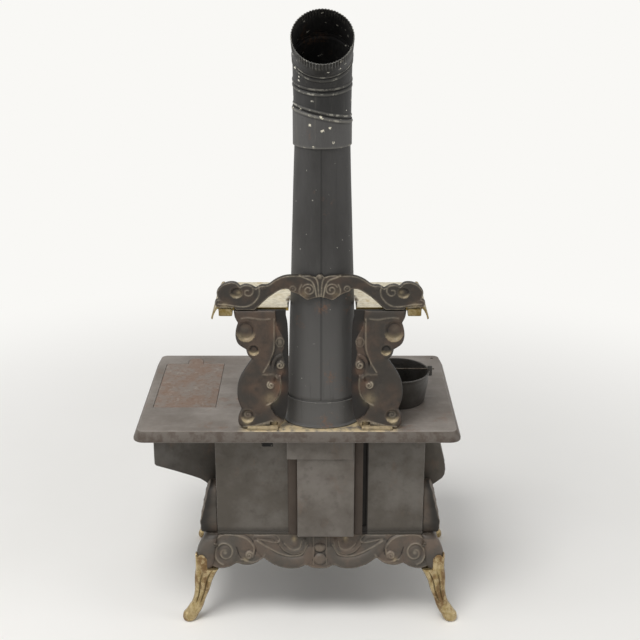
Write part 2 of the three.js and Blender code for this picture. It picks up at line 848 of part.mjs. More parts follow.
function makeOven() {
  const shell = block(ovenLeft, ovenRight, ovenFrontY, ovenBackY, ovenBottom, ovenTop);
  const hollow = block(ovenLeft + ovenWall, ovenRight - ovenWall, ovenFrontY - overrun, ovenBackY - ovenWall,
    ovenBottom + ovenWall, ovenTop - ovenWall);
  const ledges = [
    block(ovenLeft + ovenWall / 2, ovenLeft + ovenWall + rackLedge, ovenFrontY, ovenBackY - ovenWall / 2,
      rackZ - castGap - ovenWall, rackZ - castGap),
    block(ovenRight - ovenWall - rackLedge, ovenRight - ovenWall / 2, ovenFrontY, ovenBackY - ovenWall / 2,
      rackZ - castGap - ovenWall, rackZ - castGap),
  ];
  return join(cut(shell, hollow), ...ledges);
}
addPiece('oven_box', makeOven(), sheetIron);

function makeRack() {
  const x0 = ovenLeft + ovenWall + runGap;
  const x1 = ovenRight - ovenWall - runGap;
  const y0 = ovenFrontY + runGap * 4;
  const y1 = ovenBackY - ovenWall - runGap;
  const wires = [];
  for (let i = 0; i < rackWires; i += 1) {
    const x = x0 + ((x1 - x0 - rackWire) * i) / (rackWires - 1);
    wires.push(block(x, x + rackWire, y0, y1, rackZ, rackZ + rackWire));
  }
  for (const y of [y0 + rackWire, y1 - rackWire * 2]) {
    wires.push(block(x0 + rackWire / 2, x1 - rackWire / 2, y, y + rackWire,
      rackZ + rackWire / 4, rackZ + (rackWire * 3) / 4));
  }
  return join(...wires);
}
addPiece('oven_rack', makeRack(), steelScrew);

// Firebox lining: four walls, open above and below, with windows for the fire door and the feed door
const liningLeft = -sideInnerX + castGap;
const liningRight = fireboxSideX - castGap;
const liningFrontY = frontInnerY + castGap;
const liningBackY = fireboxBackY - castGap;
const liningBottom = bodyBottom + liningBottomRise;
const liningTop = bodyTop - liningTopDrop;
const feedY0 = pouchCentreY - pouchDepth / 2 + pouchWall * 3;
const feedY1 = Math.min(pouchCentreY + pouchDepth / 2, liningBackY) - pouchWall * 3;
const feedZ0 = bodyTop - pouchHeight + pouchWall * 5;
const feedZ1 = bodyTop - pouchWall * 4;

function makeLining() {
  const walls = block(liningLeft, liningRight, liningFrontY, liningBackY, liningBottom, liningTop);
  const hollow = block(liningLeft + liningWall, liningRight - liningWall, liningFrontY + liningWall,
    liningBackY - liningWall, liningBottom - overrun, liningTop + overrun);
  const fireWindow = block(fireDoor.x0 + doorLap + liningWall, fireDoor.x1 - doorLap - liningWall,
    liningFrontY - overrun, liningFrontY + liningWall + overrun,
    fireDoor.z0 + doorLap, fireDoor.z1 - doorLap);
  const feedWindow = block(liningLeft - overrun, liningLeft + liningWall + overrun,
    feedY0 + liningWall, feedY1 - liningWall, Math.max(feedZ0, liningBottom) + liningWall, feedZ1);
  return cut(walls, hollow, fireWindow, feedWindow);
}
addPiece('firebox_lining', makeLining(), fireclay);

// Rocking grate on a shank through the front panel and the back plate
function makeGrate() {
  const halfX = fireboxWidth / 2 - runGap * 5;
  const y0 = frontInnerY + runGap * 4;
  const y1 = fireboxBackY - castGap - runGap * 4;
  const z0 = shankZ - grateThickness / 2;
  const z1 = shankZ + grateThickness / 2;
  const bars = [];
  for (let i = 0; i < grateBars; i += 1) {
    const y = y0 + grateBarWidth / 2 + ((y1 - y0 - grateBarWidth) * i) / (grateBars - 1);
    bars.push(block(shankX - halfX, shankX + halfX, y - grateBarWidth / 2, y + grateBarWidth / 2, z0, z1));
  }
  const shank = rodAlongY(shankX, shankZ, -faceY - grateShankReach, fireboxBackY + fireboxPlate + overrun,
    grateShankRadius, 12);
  const crank = block(shankX - grateShankRadius, shankX + grateShankRadius,
    -faceY - grateShankReach - overrun, -faceY - grateShankReach,
    shankZ - grateShankRadius, shankZ + grateShankRadius);
  return join(...bars, shank, crank);
}
addPiece('grate', makeGrate(), darkIron);

// Ash drawer, its knob and the draft slide on its front
const drawerX0 = drawerCentreX - drawerWidth / 2;
const drawerX1 = drawerCentreX + drawerWidth / 2;
const drawerFrontY1 = doorBackY;
const drawerLength = fireboxBackY - drawerBackSpace - drawerFrontY1;
const drawerFrontY0 = drawerFrontY1 - drawerFrontThickness;
const drawerTop = drawerBottom + drawerHeight;
const draftZ = drawerFrontBottom + drawerFrontHeight / 2 - draftHeight / 2;
const draftY1 = drawerFrontY0 - castGap;
const draftY0 = draftY1 - draftThickness;
const draftX0 = drawerCentreX - draftWidth / 2;
const draftHoles = [-1, 0, 1].map((step) => drawerCentreX + step * draftHolePitch);

function makeDrawer() {
  const tray = cut(
    block(drawerX0, drawerX1, drawerFrontY1 - drawerFrontThickness / 2, drawerFrontY1 + drawerLength,
      drawerBottom, drawerTop),
    block(drawerX0 + drawerWall, drawerX1 - drawerWall,
      drawerFrontY1, drawerFrontY1 + drawerLength - drawerWall,
      drawerBottom + drawerWall, drawerTop + overrun),
  );
  const front = block(drawerCentreX - drawerFrontWidth / 2, drawerCentreX + drawerFrontWidth / 2,
    drawerFrontY0, drawerFrontY1, drawerFrontBottom, drawerFrontBottom + drawerFrontHeight);
  const railReach = draftWidth / 2 + draftTravel + draftRailHeight;
  const rails = [];
  for (const side of [-1, 1]) {
    const near = draftZ + draftHeight / 2 + side * (draftHeight / 2 + castGap);
    const far = near + side * draftRailHeight;
    rails.push(block(drawerCentreX - railReach, drawerCentreX + railReach, draftY0, drawerFrontY0 + castGap,
      Math.min(near, far), Math.max(near, far)));
    const lip = near - side * draftRailHeight / 2;
    rails.push(block(drawerCentreX - railReach, drawerCentreX + railReach,
      draftY0 - castGap - draftThickness / 2, draftY0 - castGap, Math.min(lip, far), Math.max(lip, far)));
    rails.push(block(drawerCentreX - railReach, drawerCentreX + railReach,
      draftY0 - castGap * 2, draftY0 + castGap, Math.min(near, far), Math.max(near, far)));
  }
  const holes = draftHoles.map((x) => rodAlongY(x, draftZ + draftHeight / 2, drawerFrontY0 - overrun,
    drawerFrontY1 + overrun, draftHoleRadius, 14));
  return cut(join(tray, front, ...rails), ...holes);
}
addPiece('ash_drawer', makeDrawer(), castIron);

function makeDraft() {
  const leaf = block(draftX0, draftX0 + draftWidth, draftY0, draftY1, draftZ, draftZ + draftHeight);
  const holes = draftHoles.map((x) => rodAlongY(x, draftZ + draftHeight / 2, draftY0 - overrun,
    draftY1 + overrun, draftHoleRadius, 14));
  const tab = rodAlongY(drawerCentreX + draftHolePitch / 2 + draftHoleRadius / 2, draftZ + draftHeight / 2,
    draftY0 - knobReach / 2, draftY0 + castGap, knobStem / 2, 10);
  return join(cut(leaf, ...holes), tab);
}
addPiece('draft_slide', makeDraft(), platedNickel);

function makeDrawerKnob() {
  const z = drawerFrontBottom + drawerFrontHeight - knobRadius - knobStem;
  const y = drawerFrontY0 - castGap;
  return join(
    rodAlongY(drawerCentreX, z, y - knobReach, y, knobStem, 12),
    rodAlongY(drawerCentreX, z, y - knobReach - knobRadius, y - knobReach + knobStem, knobRadius, 16),
  );
}
addPiece('ash_drawer_knob', makeDrawerKnob(), platedNickel);

// End panels between front and back, the left one with the feed window
function makeEndPanel(sign) {
  const inner = sideX - panelWall;
  return block(sign < 0 ? -sideX : inner, sign < 0 ? -inner : sideX, frontInnerY, backInnerY,
    bodyBottom, bodyTop);
}
addPiece('end_panel_right', makeEndPanel(1), castIron);
addPiece('end_panel_left', cut(makeEndPanel(-1),
  block(-sideX - overrun, -sideX + panelWall + overrun, feedY0, feedY1, feedZ0, feedZ1)), castIron);

// Bulging scroll ornament low on each end. The middle stays under the pouch and the reservoir, and a
// lobe rises behind them. Shares of half the depth and of the height free under those castings.
const endScrollFrontShares = [
  [[-0.96, 0], [-1, 0.36], [-0.97, 0.6]],
  [[-0.97, 0.6], [-0.95, 0.86], [-0.84, 0.98], [-0.7, 0.9], [-0.6, 0.72]],
  [[-0.6, 0.72], [-0.46, 0.66], [-0.34, 0.76], [-0.24, 0.92]],
  [[-0.24, 0.92], [-0.12, 1], [0, 0.98]],
];
const endScrollBackShares = [
  [[0, 0.98], [0.12, 1], [0.24, 0.92]],
  [[0.24, 0.92], [0.36, 0.76], [0.48, 0.68], [0.6, 0.74]],
];
// The lobe: shares of the depth behind the pouch and of the whole height
const endScrollLobeShares = [
  [[0, 0.6], [0.1, 0.85], [0.4, 1], [0.75, 0.94], [0.98, 0.76], [0.9, 0.52]],
  [[0.9, 0.52], [1, 0.28], [0.88, 0]],
];
// How far the ornament stands out at each share of its height
const endScrollProfileShares = [[0, 0.86], [0.14, 1], [0.34, 0.84], [0.6, 0.52], [0.8, 0.32], [1, 0]];

function bulgeAt(share) {
  for (let i = 1; i < endScrollProfileShares.length; i += 1) {
    const [low, lowOut] = endScrollProfileShares[i - 1];
    const [high, highOut] = endScrollProfileShares[i];
    if (share <= high) {
      const t = (share - low) / (high - low);
      return endScrollTopBulge + (endScrollBulge - endScrollTopBulge) * (lowOut + (highOut - lowOut) * t);
    }
  }
  return endScrollTopBulge;
}

function makeEndScroll(sign) {
  const z0 = skirtTop + castGap;
  const free = Math.min(pouchTop - pouchHeight, topZ - reservoirInnerHeight) - runGap - z0;
  const half = endScrollDepth / 2;
  const lobeY = Math.max(pouchBack, reservoirBack) + runGap * 2 - endScrollShift;
  const low = [...endScrollFrontShares, ...endScrollBackShares].map((run) => scaled(run, half, free));
  const lobe = endScrollLobeShares.map((run) => run.map(([u, v]) => [
    lobeY + (half - lobeY) * u,
    v * endScrollHeight,
  ]));
  const last = low[low.length - 1];
  const outline = smoothRuns([...low, [last[last.length - 1], lobe[0][0]], ...lobe], 3).reverse();
  outline.unshift(new THREE.Vector2(...lobe[lobe.length - 1][2]));
  const place = (u, v, w) => {
    const x = sideX + castGap + bulgeAt(v / endScrollHeight) * (1 - w);
    return [sign * x, u + endScrollShift, z0 + v];
  };
  return plate(outline, place, sign > 0);
}
addPiece('end_scroll_right', makeEndScroll(1), darkIron);
addPiece('end_scroll_left', makeEndScroll(-1), darkIron);

// Reservoir casing: its floor rises towards the outer end in a hollow curve
const casingTop = bodyTop - tankWall - castGap;
const casingFloorShares = [
  // outward share of the width, share of the fall from the outer height to the inner height
  [1, -0.06],
  [0.975, 0.03],
  [0.7, 0.28],
  [0.44, 0.54],
  [0.29, 0.71],
  [0.22, 0.85],
  [0.165, 1],
  [0, 1],
];

function casingOutline(inset) {
  const x0 = reservoirInnerX + inset;
  const x1 = reservoirOuterX - inset;
  const fall = reservoirInnerHeight - reservoirOuterHeight;
  const points = [[x0, casingTop + (inset > 0 ? overrun : 0)], [x1, casingTop + (inset > 0 ? overrun : 0)]];
  for (const [out, drop] of casingFloorShares) {
    points.push([x0 + (x1 - x0) * out, topZ - reservoirOuterHeight - fall * drop + inset]);
  }
  return points.reverse().map(([x, z]) => new THREE.Vector2(x, z));
}

function makeCasing() {
  const outer = plate(casingOutline(0), (u, v, w) => [u, reservoirBack - reservoirDepth * w, v]);
  const length = reservoirDepth - reservoirWall * 2;
  const inner = plate(casingOutline(reservoirWall),
    (u, v, w) => [u, reservoirBack - reservoirWall - length * w, v]);
  return cut(outer, inner);
}
addPiece('reservoir_casing', makeCasing(), castIron);

// Water tank, hung by its flange between casing and cooktop
function makeTank() {
  const x0 = reservoirInnerX + reservoirWall + tankGap;
  const x1 = reservoirOuterX - reservoirWall - tankGap;
  const y0 = reservoirFront + reservoirWall + tankGap;
  const y1 = reservoirBack - reservoirWall - tankGap;
  const flangeBottom = casingTop + castGap;
  const reach = tankGap + reservoirWall - castGap;
  return cut(
    join(
      block(x0, x1, y0, y1, bodyTop - tankHeight, bodyTop),
      block(x0 - reach, x1 + reach, y0 - reach, y1 + reach, flangeBottom, bodyTop),
    ),
    block(x0 + tankWall, x1 - tankWall, y0 + tankWall, y1 - tankWall, bodyTop - tankHeight + tankWall,
      bodyTop + overrun),
  );
}
addPiece('reservoir_tank', makeTank(), tinnedSheet);

// Reservoir cover with its round finger tab at the front
function coverOutline(grow) {
  const x0 = reservoirCentreX - coverWidth / 2 - grow;
  const x1 = reservoirCentreX + coverWidth / 2 + grow;
  const y0 = reservoirCentreY - coverDepth / 2 - grow;
  const y1 = reservoirCentreY + coverDepth / 2 + grow;
  const points = [[x1, y0], [x1, y1], [x0, y1], [x0, y0]];
  const radius = coverTabRadius + grow;
  const tabY = reservoirCentreY - coverDepth / 2 - coverTabReach + coverTabRadius;
  const steps = 10;
  points.push([reservoirCentreX - radius, y0]);
  for (let i = 0; i <= steps; i += 1) {
    const angle = Math.PI + (Math.PI * i) / steps;
    points.push([reservoirCentreX + radius * Math.cos(angle), tabY + radius * Math.sin(angle)]);
  }
  points.push([reservoirCentreX + radius, y0]);
  return points.map(([x, y]) => new THREE.Vector2(x, y));
}
addPiece('reservoir_cover', plate(coverOutline(0),
  (u, v, w) => [u, v, topZ - coverThickness * (1 - w)]), rustyIron);

// Cooktop: a bevelled plate with a flange under its edge, seats for the lids and the cover, the flue hole,
// bolt holes, the hanging hole and four bosses for the tie rods
const lidPlaces = [
  ['lid_back_left', lidColumnLeftX, lidRowBackY],
  ['lid_back_right', lidColumnRightX, lidRowBackY],
  ['lid_front_left', lidColumnLeftX, lidRowBackY - lidRowPitch],
  ['lid_front_right', lidColumnRightX, lidRowBackY - lidRowPitch],
];
const boltPlaces = [-1, 1].map((side) => [
  side * bracketBoltX, (bracketFrontY + bracketBackY) / 2 - bracketPadLip]);

function ringFromOutline(outline, z) {
  return outline.map((point) => new THREE.Vector3(point.x, point.y, z));
}

function makeCooktop() {
  const plan = (grow, radius) => roundedRectangle(topLeftX - grow, topRightX + grow,
    -topEdgeY - grow, topEdgeY + grow, radius);
  const flangeBottom = topZ - topFlange;
  const outer = loft([
    ringFromOutline(plan(topBevel, topCornerRadius + topBevel), flangeBottom),
    ringFromOutline(plan(topBevel, topCornerRadius + topBevel), flangeBottom + topFlange / 5),
    ringFromOutline(plan(0, topCornerRadius), topZ),
  ]);
  const inset = topBevel - topFlangeWall;
  const under = loft([
    ringFromOutline(plan(inset, topCornerRadius), flangeBottom - overrun),
    ringFromOutline(plan(inset, topCornerRadius), flangeBottom + topFlange / 5),
    ringFromOutline(plan(-topFlangeWall, topCornerRadius), topUnder),
  ]);
  const bosses = rodPlaces.map(([, x, y]) => upright(x, y, topUnder - rodBossDepth, topUnder + overrun / 2,
    rodBossRadius, 14));
  const cutters = [];
  for (const [, x, y] of lidPlaces) {
    cutters.push(upright(x, y, topUnder - overrun, topZ + overrun, lidRadius - lidLedge, 32));
    cutters.push(upright(x, y, topZ - lidThickness - castGap, topZ + overrun, lidRadius + castGap * 2, 32));
  }
  cutters.push(plate(coverOutline(runGap), (u, v, w) => [u, v,
    topZ - coverThickness - castGap + (coverThickness + overrun) * w]));
  cutters.push(block(
    reservoirCentreX - coverWidth / 2 + coverLedge, reservoirCentreX + coverWidth / 2 - coverLedge,
    reservoirCentreY - coverDepth / 2 + coverLedge, reservoirCentreY + coverDepth / 2 - coverLedge,
    topUnder - overrun, topZ + overrun));
  const flueX = pipeBaseHalfWidth - sheetWall * 2 - collarFoot / 2;
  const flueY = pipeBaseHalfDepth - sheetWall * 2 - collarFoot / 2;
  cutters.push(loft([
    ellipseRing(pipeX, pipeY, topUnder - overrun, flueX, flueY, 32),
    ellipseRing(pipeX, pipeY, topZ + overrun, flueX, flueY, 32),
  ]));
  for (const [x, y] of boltPlaces) {
    cutters.push(upright(x, y, topUnder - overrun, topZ + overrun, bracketBoltRadius + castGap, 12));
  }
  cutters.push(upright(topLeftX + hangHoleInset, -topEdgeY + hangHoleInset,
    topUnder - overrun, topZ + overrun,
    hangHoleRadius, 12));
  for (const [, x, y] of rodPlaces) {
    cutters.push(upright(x, y, topUnder - rodBossDepth - overrun, rodTop + castGap, rodRadius + castGap, 12));
  }
  return cut(join(cut(outer, under), ...bosses), ...cutters);
}
addPiece('cooktop', makeCooktop(), castIron);

for (const [name, x, y] of lidPlaces) {
  const disc = upright(x, y, topZ - lidThickness, topZ, lidRadius, 32);
  const pocketY = y - lidRadius * lidPocketShare;
  const pocket = block(x - lidPocketLength / 2, x + lidPocketLength / 2, pocketY - lidPocketWidth / 2,
    pocketY + lidPocketWidth / 2, topZ - lidPocketDepth, topZ + overrun);
  addPiece(name, cut(disc, pocket), castIron);
}

// Kettle: a tapered pot with two eared lugs, and its wire bail lying on the rim
const kettleZ = topZ + castGap;
const kettleTop = kettleZ + kettleHeight;
const earZ = kettleTop + castGap + bailWire;
const bailPivotX = kettleRimRadius + kettleEarReach / 2;

function makeKettle() {
  const profile = [
    [0, 0],
    [kettleBaseRadius, 0],
    [kettleRimRadius - kettleWall, kettleHeight - kettleWall * 2],
    [kettleRimRadius, kettleHeight - kettleWall],
    [kettleRimRadius, kettleHeight],
    [kettleRimRadius - kettleWall * kettleLipShare, kettleHeight],
    [kettleBaseRadius - kettleWall, kettleWall],
    [0, kettleWall],
  ].map(([r, z]) => new THREE.Vector2(r, z));
  const bowl = new THREE.LatheGeometry(profile, 36).rotateX(Math.PI / 2);
  bowl.translate(kettleX, kettleY, kettleZ);
  const ears = [-1, 1].map((side) => {
    const inner = kettleX + side * (kettleRimRadius - kettleWall / 2);
    const outer = inner + side * kettleEarReach;
    const lug = block(Math.min(inner, outer), Math.max(inner, outer), kettleY - kettleEarWidth / 2,
      kettleY + kettleEarWidth / 2, kettleTop - kettleEarWidth, kettleTop + kettleEarRise);
    return cut(lug, rodAlongX(kettleY, earZ,
      Math.min(inner, outer) - overrun, Math.max(inner, outer) + overrun,
      kettleEarEye, 12));
  });
  return join(bowl, ...ears);
}
addPiece('kettle', makeKettle(), castIron);

function wireAlong(points, radius, steps, sides = 6) {
  const section = new THREE.Shape();
  for (let i = 0; i < sides; i += 1) {
    const angle = (2 * Math.PI * i) / sides;
    const x = radius * Math.cos(angle);
    const y = radius * Math.sin(angle);
    if (i === 0) {
      section.moveTo(x, y);
    } else {
      section.lineTo(x, y);
    }
  }
  const path = new THREE.CatmullRomCurve3(points, false, 'centripetal');
  return new THREE.ExtrudeGeometry(section, { steps, bevelEnabled: false, extrudePath: path });
}

function makeBail() {
  const stubInner = bailPivotX - kettleEarReach / 2 - kettleWall / 2 - bailWire;
  const turnX = bailPivotX + kettleEarReach / 2 + bailWire * 2;
  const points = [new THREE.Vector3(kettleX - stubInner, kettleY, earZ)];
  points.push(new THREE.Vector3(kettleX - turnX + bailWire, kettleY, earZ));
  const arcSteps = 12;
  for (let i = 0; i <= arcSteps; i += 1) {
    const angle = (Math.PI * i) / arcSteps;
    const reach = bailWire * 3 + bailSagitta * Math.sin(angle);
    points.push(new THREE.Vector3(kettleX - turnX * Math.cos(angle), kettleY - reach, earZ));
  }
  points.push(new THREE.Vector3(kettleX + turnX - bailWire, kettleY, earZ));
  points.push(new THREE.Vector3(kettleX + stubInner, kettleY, earZ));
  return wireAlong(points, bailWire, 40);
}
addPiece('kettle_bail', makeBail(), steelScrew);

// Fire pouch: two cheeks and a floor round the feed window, closed by the sloping feed door
const pouchX = -sideX - castGap;
const pouchSideShares = [
  // outward share of the reach and downward share of the height
  [0, 0],
  [0.41, 0],
  [0.9, 0.6],
  [0.98, 0.7],
  [1, 0.77],
  [0.97, 0.84],
  [0.88, 0.89],
  [0.42, 1],
  [0, 1],
];
const pouchLipShare = 0.7;
const pouchFloorWallShare = 1.4;
// The inside of the lip, as shares of the reach less one wall and of the height
const pouchLipInnerShares = [[1, 0.8], [0.86, 0.84]];
const feedPinShares = [0.41, 0.06];
const feedEndShare = 0.98;

function pouchPoint(out, down) {
  return new THREE.Vector2(pouchX - pouchReach * out, pouchTop - pouchHeight * down);
}

function makePouch() {
  const outline = pouchSideShares.map(([out, down]) => pouchPoint(out, down));
  const shell = plate(outline, (u, v, w) => [u, pouchFront + pouchDepth * (1 - w), v]);
  const wallOut = pouchWall / pouchReach;
  const wallDown = pouchWall / pouchHeight;
  const inside = [
    pouchPoint(-overrun / pouchReach, -overrun / pouchHeight),
    pouchPoint(1 + overrun / pouchReach, -overrun / pouchHeight),
    pouchPoint(1 + overrun / pouchReach, pouchLipShare),
    pouchPoint(1 - wallOut, pouchLipShare),
    ...pouchLipInnerShares.map(([out, down]) => pouchPoint(out - wallOut, down)),
    pouchPoint(pouchSideShares[7][0], 1 - wallDown * pouchFloorWallShare),
    pouchPoint(-overrun / pouchReach, 1 - wallDown * pouchFloorWallShare),
  ];
  const length = pouchDepth - pouchWall * 2;
  const hollow = plate(inside, (u, v, w) => [u, pouchFront + pouchWall + length * (1 - w), v]);
  return cut(shell, hollow, ...feedPinHoles());
}

// The feed door lies on the slope of the pouch and turns on two stub pins in the cheeks near its top edge
const feedPin = pouchPoint(...feedPinShares);
const feedSlopeEnd = pouchPoint(feedEndShare, pouchLipShare - feedDoorThickness / pouchHeight);

function feedPinHoles() {
  return [rodAlongY(feedPin.x + feedHingeRadius * 2, feedPin.y, pouchFront - overrun, pouchBack + overrun,
    feedHingeRadius + castGap, 12)];
}

function makeFeedDoor() {
  const along = new THREE.Vector2(feedSlopeEnd.x - feedPin.x, feedSlopeEnd.y - feedPin.y);
  const length = along.length();
  along.divideScalar(length);
  const inward = new THREE.Vector2(-along.y, along.x);
  const corner = (distance, depth) => new THREE.Vector2(
    feedPin.x + along.x * distance + inward.x * depth,
    feedPin.y + along.y * distance + inward.y * depth,
  );
  const outline = [corner(0, 0), corner(length, 0),
    corner(length, feedDoorThickness), corner(0, feedDoorThickness)];
  const y0 = pouchFront + pouchWall + runGap;
  const y1 = pouchBack - pouchWall - runGap;
  const leaf = plate(outline, (u, v, w) => [u, y0 + (y1 - y0) * (1 - w), v]);
  const pin = rodAlongY(feedPin.x + feedHingeRadius * 2, feedPin.y, pouchFront + castGap, pouchBack - castGap,
    feedHingeRadius, 12);
  return join(leaf, pin);
}
addPiece('pouch', makePouch(), castIron);
addPiece('feed_door', makeFeedDoor(), platedNickel);

// Scrolled shelf brackets. The outline runs are shares of the reach and of the height: outer edge from
// the top down, foot, and inner edge from the foot up.
const bracketOuterShares = [
  [[1.01, 1], [1, 0.945], [0.965, 0.895]],
  [[0.965, 0.895], [0.99, 0.84], [0.995, 0.775], [0.965, 0.72], [0.875, 0.675]],
  [[0.875, 0.675], [0.855, 0.63], [0.81, 0.595]],
  [[0.81, 0.595], [0.9, 0.508], [0.965, 0.425], [0.99, 0.34], [0.985, 0.25], [0.945, 0.17]],
  [[0.945, 0.17], [0.985, 0.1], [0.98, 0.035], [0.93, 0]],
];
const bracketInnerShares = [
  [[0.93, 0], [0.5, 0]],
  [[0.5, 0], [0.45, 0.05], [0.41, 0.12], [0.395, 0.22], [0.385, 0.34], [0.39, 0.45]],
  [[0.39, 0.45], [0.385, 0.56], [0.38, 0.68], [0.385, 0.8]],
  [[0.385, 0.8], [0.39, 0.9], [0.4, 0.95]],
  [[0.4, 0.95], [0.4, 1]],
  [[0.4, 1], [1.01, 1]],
];

function makeBracket(side) {
  const runs = [...bracketOuterShares, ...bracketInnerShares].map(
    (run) => scaled(run, bracketReach, bracketHeight));
  const base = topZ + castGap;
  const outline = smoothRuns(runs, 4);
  const place = (u, v, w) => [side * u, bracketBackY - bracketThickness * w, base + v];
  const scroll = plate(outline, place, side < 0);
  const near = side * bracketPadInnerX;
  const far = side * bracketPadOuterX;
  const pad = block(Math.min(near, far), Math.max(near, far), bracketFrontY - bracketPadFrontReach,
    bracketBackY + bracketPadLip, base, base + bracketPadHeight);
  const shoulder = block(-bracketReach * 2, bracketReach * 2, bracketFrontY - overrun, shelfBackY + castGap,
    shelfUnder - castGap, bracketTop + overrun);
  const [x, y] = [side * bracketBoltX, boltPlaces[0][1]];
  const hole = upright(x, y, base - overrun, base + bracketPadHeight + overrun,
    bracketBoltRadius + castGap, 12);
  const seatHalf = boltHeadSide / 2 + runGap;
  const seat = block(x - seatHalf, x + seatHalf, y - seatHalf, bracketBackY + bracketPadLip + overrun,
    base + bracketPadHeight, base + bracketPadHeight + boltHeadHeight + runGap * 2);
  return cut(join(scroll, pad), shoulder, hole, seat);
}
addPiece('shelf_bracket_right', makeBracket(1), darkIron);
addPiece('shelf_bracket_left', makeBracket(-1), darkIron);

for (const [i, side] of [[0, 'left'], [1, 'right']]) {
  const [x, y] = boltPlaces[i];
  const headZ = topZ + castGap * 2 + bracketPadHeight;
  const half = boltHeadSide / 2;
  addPiece(`bracket_bolt_${side}`, join(
    block(x - half, x + half, y - half, y + half, headZ, headZ + boltHeadHeight),
    upright(x, y, topUnder - castGap - nutHeight, headZ + castGap, bracketBoltRadius, 12),
    upright(x, y, topUnder - castGap - nutHeight, topUnder - castGap, nutRadius, 6),
  ), steelScrew);
}

// Shelf: a plate with a round notch for the pipe, moulded lips down its ends and a lug at each rear corner
const shelfFrontY = shelfBackY - shelfDepth;
// Section of an end lip: outward share of its reach, downward share of its drop
const shelfLipShares = [[0, 0], [0.4, 0.03], [1, 0.75], [0.9, 1], [0.6, 1], [0.2, 0.31]];

function makeShelf() {
  const steps = 20;
  const points = [
    [-shelfHalfWidth, shelfBackY],
    [-shelfHalfWidth, shelfFrontY],
    [shelfHalfWidth, shelfFrontY],
    [shelfHalfWidth, shelfBackY],
  ];
  for (let i = 0; i <= steps; i += 1) {
    const angle = -(Math.PI * i) / steps;
    points.push([pipeX + shelfNotchRadius * Math.cos(angle), pipeY + shelfNotchRadius * Math.sin(angle)]);
  }
  points.splice(4, 0, [pipeX + shelfNotchRadius, shelfBackY]);
  points.push([pipeX - shelfNotchRadius, shelfBackY]);
  const outline = points.map(([x, y]) => new THREE.Vector2(x, y));
  const deck = plate(outline, (u, v, w) => [u, v, shelfUnder + shelfThickness * w]);
  const pieces = [deck];
  for (const side of [-1, 1]) {
    const section = [
      ...shelfLipShares.map(([out, down]) => [shelfLipReach * out, -shelfLipDrop * down]),
      [-shelfLipWall, -shelfThickness],
      [-shelfLipWall, 0],
    ].map(([out, z]) => new THREE.Vector2(out, z)).reverse();
    pieces.push(plate(section, (u, v, w) => [side * (shelfHalfWidth + u), shelfBackY - shelfDepth * (1 - w),
      shelfTop + v], side > 0));
    const near = side * shelfLugInnerX;
    const far = side * (shelfLugInnerX + shelfLugWidth);
    pieces.push(block(Math.min(near, far), Math.max(near, far), shelfBackY - shelfThickness,
      crestBackY, shelfTop - shelfLugHeight, shelfTop));
  }
  return join(...pieces);
}
addPiece('shelf', makeShelf(), platedNickel);

// Crest behind the shelf. Its runs are shares of the half width and of the rise, from the right end over
// the top to the middle, and from the middle along the underside back to the end.
const crestTopShares = [
  [[0.985, 0.08], [1.005, 0.16], [1, 0.26], [0.97, 0.31]],
  [[0.97, 0.31], [0.985, 0.5], [0.94, 0.68], [0.87, 0.77], [0.8, 0.76], [0.76, 0.66]],
  [[0.76, 0.66], [0.715, 0.71], [0.665, 0.69], [0.61, 0.61]],
  [[0.61, 0.61], [0.56, 0.69], [0.5, 0.7], [0.42, 0.85], [0.33, 0.95], [0.2, 0.965], [0.1, 0.97],
    [0.045, 0.92]],
  [[0.045, 0.92], [0.02, 0.99], [0, 1]],
];
const crestUnderShares = [
  [[0, 0.37], [0.05, 0.34], [0.12, 0.29], [0.2, 0.43], [0.28, 0.52], [0.3, 0.58], [0.37, 0.57], [0.49, 0.36]],
  [[0.49, 0.36], [0.56, 0.18], [0.615, 0.03], [0.63, 0]],
  [[0.63, 0], [0.805, 0]],
  [[0.805, 0], [0.825, 0.08]],
  [[0.825, 0.08], [0.985, 0.08]],
];

function makeCrest() {
  const scale = (runs) => runs.map((run) => scaled(run, crestHalfWidth, crestRise));
  const right = [...scale(crestUnderShares), ...scale(crestTopShares)];
  const outline = smoothRuns([...right, ...mirroredRuns(right)], 3);
  const bar = plate(outline, (u, v, w) => [u, crestBackY - crestThickness * w, crestBottom + v]);
  const saddle = [crestBottom - overrun, crestBottom + crestRise + overrun].map((z) => ellipseRing(
    pipeX, pipeY, z, pipeBaseHalfWidth + runGap, pipeTopRadius + runGap, 36));
  return cut(bar, loft(saddle));
}
addPiece('crest', makeCrest(), darkIron);

// Stovepipe: an oval collar with a foot on the cooktop, and a pipe that tapers from oval to round
const pipeFoot = topZ + castGap;
const pipeSides = 36;

function pipeHalf(h) {
  const share = Math.min(h / pipeTaperHeight, 1);
  return [
    pipeBaseHalfWidth + (pipeTopRadius - pipeBaseHalfWidth) * share,
    pipeBaseHalfDepth + (pipeTopRadius - pipeBaseHalfDepth) * share,
  ];
}

function pipeRing(h, grow) {
  const [halfX, halfY] = pipeHalf(h);
  return ellipseRing(pipeX, pipeY, pipeFoot + h, halfX + grow, halfY + grow, pipeSides);
}

const collarInner = -sheetWall;
addPiece('pipe_collar', loft(
  [pipeRing(0, collarFoot), pipeRing(collarFootHeight, collarFoot), pipeRing(collarFootHeight, 0),
    pipeRing(collarHeight, 0)],
  [pipeRing(0, collarInner), pipeRing(collarHeight, collarInner)],
), sheetIron);

